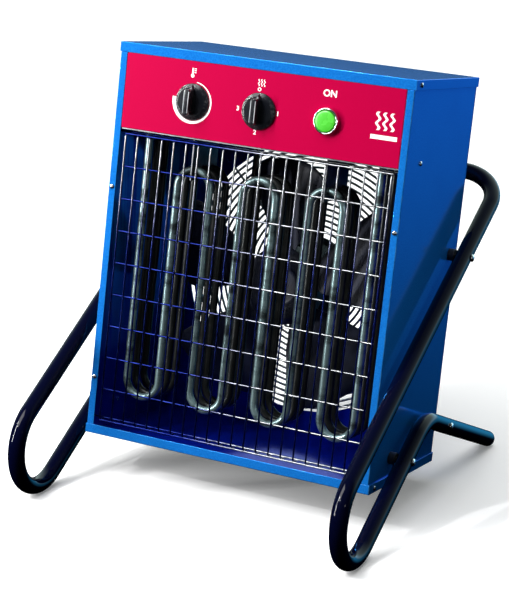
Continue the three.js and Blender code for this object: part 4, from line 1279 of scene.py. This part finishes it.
# %% The wire net's tree and the grille
UPRIGHT_BEND_STEPS = 6
WIRE_SIDES = 10
wire_net = Growth("wire_net")
upright_curve = wire_net.fillet(
    wire_net.line(wire_net.base), wire_net.input("Bend Radius"), UPRIGHT_BEND_STEPS)
net_width, net_height, wire_r, tie_reach = (
    wire_net.input(name) for name in ("Width", "Height", "Wire Radius", "Tie Reach"))
uprights = wire_net.scatter(
    wire_net.row(wire_net.input("Uprights", "NodeSocketInt"), wire_net.xyz(net_width * -0.5),
                 wire_net.xyz(wire_net.input("Upright Pitch"))), upright_curve)
cross = wire_net.straight(wire_net.xyz(net_width * -0.5 - wire_r),
                          wire_net.xyz(net_width * 0.5 + wire_r))
crosses = wire_net.scatter(
    wire_net.row(wire_net.input("Crosses", "NodeSocketInt"),
                 wire_net.xyz(0.0, wire_net.input("Cross Depth"), wire_net.input("Foot")),
                 wire_net.xyz(0.0, 0.0, wire_net.input("Cross Pitch"))), cross)
tie = wire_net.straight(wire_net.xyz(tie_reach * -1.0), wire_net.xyz(tie_reach))
ties = wire_net.scatter(
    wire_net.row(2, wire_net.xyz(0.0, wire_net.input("Tie Depth"), wire_net.input("Tie Foot")),
                 wire_net.xyz(0.0, 0.0, net_height)), tie)
wires = wire_net.real(wire_net.join(uprights, crosses, ties))
wire_net.close(wire_net.wire(wires, wire_r, WIRE_SIDES))

WIRE_R = 1.0
WIRE_SMOOTH = 50
grille_low, grille_high = extent("front_grille")
NET_FOOT = grille_low.z + WIRE_R
NET_HEIGHT = grille_high.z - grille_low.z - 2 * WIRE_R
NET_WIDTH = 317.0
UPRIGHTS = 22
CROSSES = 10
BEND_BACK_R = 4.5
WELD = 0.4
front_y = grille_low.y + WIRE_R
back_y = grille_high.y - WELD
net_top = NET_FOOT + NET_HEIGHT
upright_path = path_mesh([(0, back_y, NET_FOOT), (0, front_y, NET_FOOT), (0, front_y, net_top),
                          (0, back_y, net_top)])
grille_mesh = grow(
    wire_net, upright_path, Bend_Radius=BEND_BACK_R, Width=NET_WIDTH, Height=NET_HEIGHT,
    Wire_Radius=WIRE_R, Uprights=UPRIGHTS, Upright_Pitch=NET_WIDTH / (UPRIGHTS - 1),
    Crosses=CROSSES, Cross_Depth=front_y + 2 * WIRE_R - WELD, Foot=NET_FOOT,
    Cross_Pitch=NET_HEIGHT / (CROSSES - 1), Tie_Reach=grille_high.x,
    Tie_Depth=grille_high.y - WIRE_R, Tie_Foot=NET_FOOT + 2 * WIRE_R - WELD, Finish=GRILLE_WIRE)
Piece("front_wire_grille").add(
    smooth(grille_mesh, WIRE_SMOOTH), GRILLE_WIRE).hand_over("front_grille")

# %% [markdown]
# ## Fan, shaft and motor
#
# The impeller has a pressed hub and five broad paddle blades, curved across their chord and a
# little flatter towards the tip. Each blade is a sheet swept from root to tip and then given its
# thickness. The motor behind it is a cast can with cooling ribs.

# %% Impeller
FAN_Z = middle("motor_shaft").z
motor_low, motor_high = extent("fan_motor")
HUB_R = 45
HUB_LEN = 30
MOTOR_R = (motor_high.x - motor_low.x) / 2
MOTOR_BOSS_H = 4
HUB_BACK = motor_low.y + MOTOR_BOSS_H - 8
HUB_MID = HUB_BACK - HUB_LEN / 2
SHAFT_BORE_R = 4.4
FAN_R = 144.5
BLADES = 5
BLADE_PHASE = 4
BLADE_T = 1.6
BLADE_PITCH_ROOT = -30
BLADE_PITCH_GAIN = 4
BLADE_CAMBER = 0.10
BLADE_ROOT_R = 39
BLADE_WIDTH = ((BLADE_ROOT_R, 20), (72, 26), (108, 26.5), (133, 25.5), (141, 22), (FAN_R, 13))


def blade():
    """A cambered paddle blade, pointing up from the hub; its width is an angle at each radius."""
    across, along = 14, 20
    points, faces = [], []
    for j in range(along + 1):
        s = 1 - (1 - j / along) ** 1.3
        radius = BLADE_ROOT_R + (FAN_R - BLADE_ROOT_R) * s
        half = math.radians(np.interp(radius, *zip(*BLADE_WIDTH)))
        pitch = math.radians(BLADE_PITCH_ROOT + BLADE_PITCH_GAIN * s)
        for i in range(across + 1):
            t = 2 * i / across - 1
            x = radius * math.sin(half * t)
            camber = (1 - t * t) * half * radius * BLADE_CAMBER
            points.append((x, x * math.tan(pitch) - camber + 2, radius * math.cos(half * t)))
    for j in range(along):
        for i in range(across):
            a = j * (across + 1) + i
            faces.append((a, a + 1, a + across + 2, a + across + 1))
    sheet_mesh = mesh_of(points, faces)
    return worked(sheet_mesh, ("SOLIDIFY", {"thickness": BLADE_T, "offset": 0}),
                  ("SUBSURF", {"levels": 1, "render_levels": 1}))


impeller = Piece("fan_wheel")
hub_lip = HUB_BACK - HUB_LEN * 0.8
hub_front = HUB_BACK - HUB_LEN
hub_profile = rounded_corners([
    (SHAFT_BORE_R, hub_lip, False), (HUB_R * 0.45, hub_lip, True), (HUB_R * 0.55, hub_front, True),
    (HUB_R * 0.85, hub_front, True), (HUB_R, hub_lip, True), (HUB_R, HUB_BACK, True),
    (HUB_R - 3, HUB_BACK, True), (HUB_R - 4, HUB_MID, True), (9, HUB_MID, True),
    (9, HUB_BACK, False), (SHAFT_BORE_R, HUB_BACK, False), (SHAFT_BORE_R, hub_lip, False)], 3)
hub = smooth(turned(hub_profile))
mark_edges(hub)
impeller.add(hub, FAN_METAL, at(0, 0, FAN_Z))
for i in range(BLADES):
    spoke = turn(360 * i / BLADES - BLADE_PHASE, "Y")
    impeller.add(smooth(blade()), FAN_METAL, at(0, HUB_MID, FAN_Z) @ spoke)
impeller.hand_over("fan_impeller", body="fan")

# %% Motor
RIBS = 9
MOTOR_BOSS_R = 16
MOTOR_BORE_DEPTH = 26
ROOT_R = MOTOR_R * 0.93
RIM_R = MOTOR_R * 0.86
boss_back = motor_low.y + MOTOR_BOSS_H
motor_profile = [(SHAFT_BORE_R, motor_low.y), (MOTOR_BOSS_R - 1.5, motor_low.y),
                 (MOTOR_BOSS_R, motor_low.y + 1.5), (MOTOR_BOSS_R, boss_back), (RIM_R, boss_back),
                 (ROOT_R, boss_back + 4)]
rib_start = boss_back + 6
rib_pitch = (motor_high.y - 6 - rib_start) / RIBS
for i in range(RIBS):
    base = rib_start + rib_pitch * i
    crest_end = base + rib_pitch * 0.45
    motor_profile += [(ROOT_R, base), (MOTOR_R, base + 0.6), (MOTOR_R, crest_end),
                      (ROOT_R, crest_end + 0.6)]
bore_end = motor_low.y + MOTOR_BORE_DEPTH
motor_profile += [(ROOT_R, motor_high.y - 4), (RIM_R, motor_high.y), (0, motor_high.y),
                  (0, bore_end), (SHAFT_BORE_R, bore_end), (SHAFT_BORE_R, motor_low.y)]
Piece("fan_motor_can").add(
    smooth(turned(motor_profile)), MOTOR_PAINT, at(0, 0, FAN_Z)).hand_over("fan_motor")

# %% [markdown]
# ## Rear guard
#
# Seen from behind, the intake is covered by rings of steel wire welded on four spokes, with a
# plate in the middle that carries the motor and an ear for a screw at the end of each spoke.
# The tree scales one circle into every ring before the wire is run along it, so that all rings
# have the same wire.

# %% The guard's tree and the guard
RING_SIDES = 96
GUARD_WIRE_SIDES = 8
ring_guard = Growth("ring_guard")
ring_count = ring_guard.input("Rings", "NodeSocketInt")
ring_pitch, inner_ring, ring_wire = (
    ring_guard.input(name) for name in ("Ring Pitch", "Inner Ring", "Wire Radius"))
ring_r = ring_guard.node("GeometryNodeInputIndex") * ring_pitch + inner_ring
ring_points = ring_guard.row(ring_count, (0.0, 0.0, 0.0), (0.0, 0.0, 0.0))
rings = ring_guard.scatter(ring_points, ring_guard.circle(1.0, RING_SIDES),
                           Scale=ring_guard.xyz(ring_r, ring_r, 1.0))
ring_guard.close(ring_guard.join(*(
    ring_guard.wire(curve, ring_wire, GUARD_WIRE_SIDES)
    for curve in (ring_guard.real(rings), ring_guard.line(ring_guard.base)))))

GUARD_WIRE_R = 1.5
GUARD_RING_PITCH = 6.7
PLATE_R = 50
PLATE_T = 2
SPOKES = 4
EAR_R = 6
EAR_LEN = 9
guard_low, guard_high = extent("rear_fan_guard")
guard_screws = [f"{level}_{side}_guard_screw" for level, side in (
    ("upper", "right"), ("upper", "left"), ("lower", "left"), ("lower", "right"))]
screw_centre = middle(guard_screws[0])
EAR_AT = math.hypot(screw_centre.x, screw_centre.z - FAN_Z)
GUARD_R = EAR_AT - EAR_LEN
RINGS = int((GUARD_R - PLATE_R) / GUARD_RING_PITCH) + 1
spoke_angles = [45 + 360 * i / SPOKES for i in range(SPOKES)]
spoke_lines = bpy.data.meshes.new("spokes")
spoke_lines.from_pydata(
    [(*polar(reach, angle), 2 * GUARD_WIRE_R - WELD)
     for angle in spoke_angles for reach in (PLATE_R - 4, GUARD_R + 1)],
    [(2 * i, 2 * i + 1) for i in range(SPOKES)], [])
guard_mesh = grow(ring_guard, spoke_lines, Rings=RINGS, Ring_Pitch=GUARD_RING_PITCH,
                  Inner_Ring=GUARD_R - GUARD_RING_PITCH * (RINGS - 1), Wire_Radius=GUARD_WIRE_R,
                  Finish=GUARD_WIRE)
guard = Piece("rear_wire_guard")
ring_depth = guard_high.y - GUARD_WIRE_R
guard.add(smooth(guard_mesh, WIRE_SMOOTH), GUARD_WIRE, at(0, ring_depth, FAN_Z) @ turn(90, "X"))
plate_back = guard_low.y + PLATE_T
plate_profile = rounded_corners([(0, guard_low.y, False), (PLATE_R, guard_low.y, True),
                                 (PLATE_R, plate_back, True), (0, plate_back, False)], 0.5)
guard.add(smooth(turned(plate_profile)), GUARD_WIRE, at(0, 0, FAN_Z))
ear_round = [polar(EAR_R, degrees) for degrees in range(120, -121, -15)]
for angle in spoke_angles:
    place = at(0, 0, FAN_Z) @ turn(-angle, "Y") @ at(EAR_AT, 0, 0)
    ear = worked(slab([(-EAR_LEN, 3), *ear_round, (-EAR_LEN, -3)], guard_low.y, plate_back),
                 ("BEVEL", {"width": 0.4, "segments": 2, "angle_limit": SHARP}))
    guard.add(smooth(ear), GUARD_WIRE, place)
guard.hand_over("rear_fan_guard", slot="grille_wire")

# %% [markdown]
# ## Screws and bolts
#
# Every panel is held by the same domed screw with a cross recess, and the stand by larger bolts
# with a hexagon socket. One of each is modelled, and a tree sets a copy on every point of a
# mesh, turned along the direction that the point carries. The model's own screws give the
# points; the screws of the rear panel are added here.

# %% One screw, one bolt and the tree that places them
DOME_STEPS = 6
FASTENER_SMOOTH = 32
screw_rows = Growth("screw_rows")
way_out = screw_rows.node(
    "GeometryNodeInputNamedAttribute", {"data_type": "FLOAT_VECTOR"}, {"Name": "facing"})
aligned = screw_rows.node("FunctionNodeAlignRotationToVector", {"axis": "Y"}, {"Vector": way_out})
pattern = screw_rows.node("GeometryNodeObjectInfo", {}, {
    "Object": screw_rows.input("Pattern", "NodeSocketObject")}, "Geometry")
screw_rows.close(screw_rows.scatter(screw_rows.base, pattern, Rotation=aligned))


def cut(mesh, cutter):
    tool = bpy.data.objects.new("cutter", cutter)
    bench_scene.link(tool)
    settings = {"operation": "DIFFERENCE", "solver": "EXACT", "object": tool}
    result = worked(mesh, ("BOOLEAN", settings))
    bpy.data.objects.remove(tool)
    return result


def fastener(head_r, head_h, shank_r, length, cutters, sides=24):
    """Lies along Y, its head's underside at 0 and its dome towards +Y."""
    profile = [(0, -length), (shank_r, -length), (shank_r, 0), (head_r - 0.15, 0), (head_r, 0.2)]
    for step in range(1, DOME_STEPS + 1):
        across, rise = polar(1, 90 * step / DOME_STEPS)
        profile.append((head_r * across, 0.2 + (head_h - 0.2) * rise))
    mesh = turned(profile, sides)
    for cutter in cutters:
        mesh = cut(mesh, cutter)
    return smooth(mesh, FASTENER_SMOOTH)


def block(size_x, size_z, front, back):
    x, z = size_x / 2, size_z / 2
    return slab([(-x, -z), (x, -z), (x, z), (-x, z)], front, back)


SCREW_HEAD = (2.75, 1.8)
BOLT_HEAD = (4.4, 2.6)
CROSS_LONG, CROSS_THIN = 2.8, 0.62
SOCKET_R = 3.2 / math.sqrt(3)
screw_mesh = fastener(*SCREW_HEAD, 1.5, 7, [block(CROSS_LONG, CROSS_THIN, 0.8, 2.8),
                                            block(CROSS_THIN, CROSS_LONG, 0.8, 2.8)])
socket = [polar(SOCKET_R, 60 * i) for i in range(6)]
bolt_mesh = fastener(*BOLT_HEAD, 2.5, 34.8, [slab(socket, 0.9, 4.0)], 32)


def driven(name, pattern_mesh, places, replaces):
    """Places are (point, direction) pairs in casing millimetres."""
    pattern_obj = bpy.data.objects.new("pattern", pattern_mesh)
    bench_scene.link(pattern_obj)
    base = bpy.data.meshes.new("places")
    base.from_pydata([tuple(point) for point, _ in places], [], [])
    base.attributes.new("facing", "FLOAT_VECTOR", "POINT")
    base.attributes["facing"].data.foreach_set("vector", [v for _, way in places for v in way])
    mesh = smooth(grow(screw_rows, base, Pattern=pattern_obj, Finish=SCREW_STEEL), FASTENER_SMOOTH)
    bpy.data.objects.remove(pattern_obj)
    mesh.materials.clear()
    Piece(name).add(mesh, SCREW_STEEL).hand_over(*replaces)


def seat(node, axis, sign, head_h):
    """Where a screw's head meets its panel, from the node's own box."""
    low, high = extent(node)
    point = (low + high) / 2
    point[axis] = high[axis] - head_h if sign > 0 else low[axis] + head_h
    way = Vector((0, 0, 0))
    way[axis] = sign
    return point, way


screw_places, screw_nodes, bolt_places, bolt_nodes = [], [], [], []
for side, sign in (("left", -1), ("right", 1)):
    for name, axis, way in (("lower_flange", 1, -1), ("upper_flange", 1, -1), ("lid", 0, sign),
                            ("base", 0, sign), ("floor", 0, sign)):
        screw_nodes.append(f"{side}_{name}_screw")
        screw_places.append(seat(screw_nodes[-1], axis, way, SCREW_HEAD[1]))
    for level in STAND_BOLTS:
        bolt_nodes.append(f"{side}_{level}_bolt")
        bolt_places.append(seat(bolt_nodes[-1], 0, sign, BOLT_HEAD[1]))
for node in guard_screws:
    screw_nodes.append(node)
    screw_places.append(seat(node, 1, 1, SCREW_HEAD[1]))
rear_low, rear_high = extent("rear_panel")
REAR_SCREW_INSET = 7
REAR_SCREW_RISE = 26
rear_x = rear_high.x - REAR_SCREW_INSET
rear_z = (rear_low.z + REAR_SCREW_RISE, (rear_low.z + rear_high.z) / 2,
          rear_high.z - REAR_SCREW_RISE)
for x in (-rear_x, rear_x):
    for z in rear_z:
        screw_places.append((Vector((x, rear_high.y, z)), Vector((0, 1, 0))))
driven("panel_screws", screw_mesh, screw_places, screw_nodes)
driven("stand_bolts", bolt_mesh, bolt_places, bolt_nodes)

# %% [markdown]
# ## Supply gland and what is left
#
# The supply lead enters at the back through an open gland with a ribbed nut. The sensor of the
# thermostat is a thin copper capillary with a bulb in the duct. The switches, the contactor and
# the terminals inside the control box keep the model's shapes, with eased edges.

# %% Gland and sensor
gland_low, gland_high = extent("cable_gland")
gland_centre = middle("cable_gland")
GLAND_R = (gland_high.x - gland_low.x) / 2
GLAND_BORE_R = 6.5
GLAND_THREAD_R = 10
NUT_RIBS = 24
NUT_RIB_DEPTH = 0.03
NUT_END_R = 9.2
gland_seat = rear_high.y + 0.3
nut_start = gland_seat + 6.5
gland_end = gland_high.y
gland_profile = rounded_corners([
    (GLAND_BORE_R, gland_end, False), (GLAND_BORE_R, gland_low.y, False),
    (GLAND_THREAD_R, gland_low.y, False), (GLAND_THREAD_R, gland_seat, False),
    (GLAND_R, gland_seat, True), (GLAND_R, gland_seat + 5, True), (GLAND_R - 2.4, nut_start, True),
    (GLAND_R - 1.4, gland_end - 6, True), (NUT_END_R, gland_end, True),
    (GLAND_BORE_R, gland_end, False)], 0.8)
gland_mesh = turned(gland_profile, NUT_RIBS * 4)
for vertex in gland_mesh.vertices:
    radius = math.hypot(vertex.co.x, vertex.co.z)
    if vertex.co.y > nut_start + 0.1 and radius > NUT_END_R + 0.4:
        swell = 1 + math.cos(NUT_RIBS * math.atan2(vertex.co.z, vertex.co.x))
        vertex.co.x *= 1 - NUT_RIB_DEPTH * swell
        vertex.co.z *= 1 - NUT_RIB_DEPTH * swell
gland = Piece("supply_gland")
gland.add(smooth(gland_mesh), PLASTIC["black_plastic"], at(gland_centre.x, 0, gland_centre.z))
gland.hand_over("cable_gland")

INNER = {
    "thermostat_body": PLASTIC["switch_plastic"],
    "selector_switch_body": PLASTIC["switch_plastic"],
    "start_contact_block": PLASTIC["switch_plastic"],
    "contactor": PLASTIC["terminal_plastic"],
    "terminal_block": PLASTIC["terminal_plastic"],
    "overheat_cutout": PLASTIC["black_plastic"],
    "motor_shaft": SHAFT_STEEL,
}
for node, finish in INNER.items():
    body = "fan" if node == "motor_shaft" else "casing"
    inner = Piece(f"{node}_finished").add(eased(node, fold=0.8, rim_share=1.0), finish)
    inner.hand_over(node, body=body)

sensor_slots = NODES["thermostat_sensor"].data.materials
sensor_slots.clear()
sensor_slots.append(SENSOR_METAL)
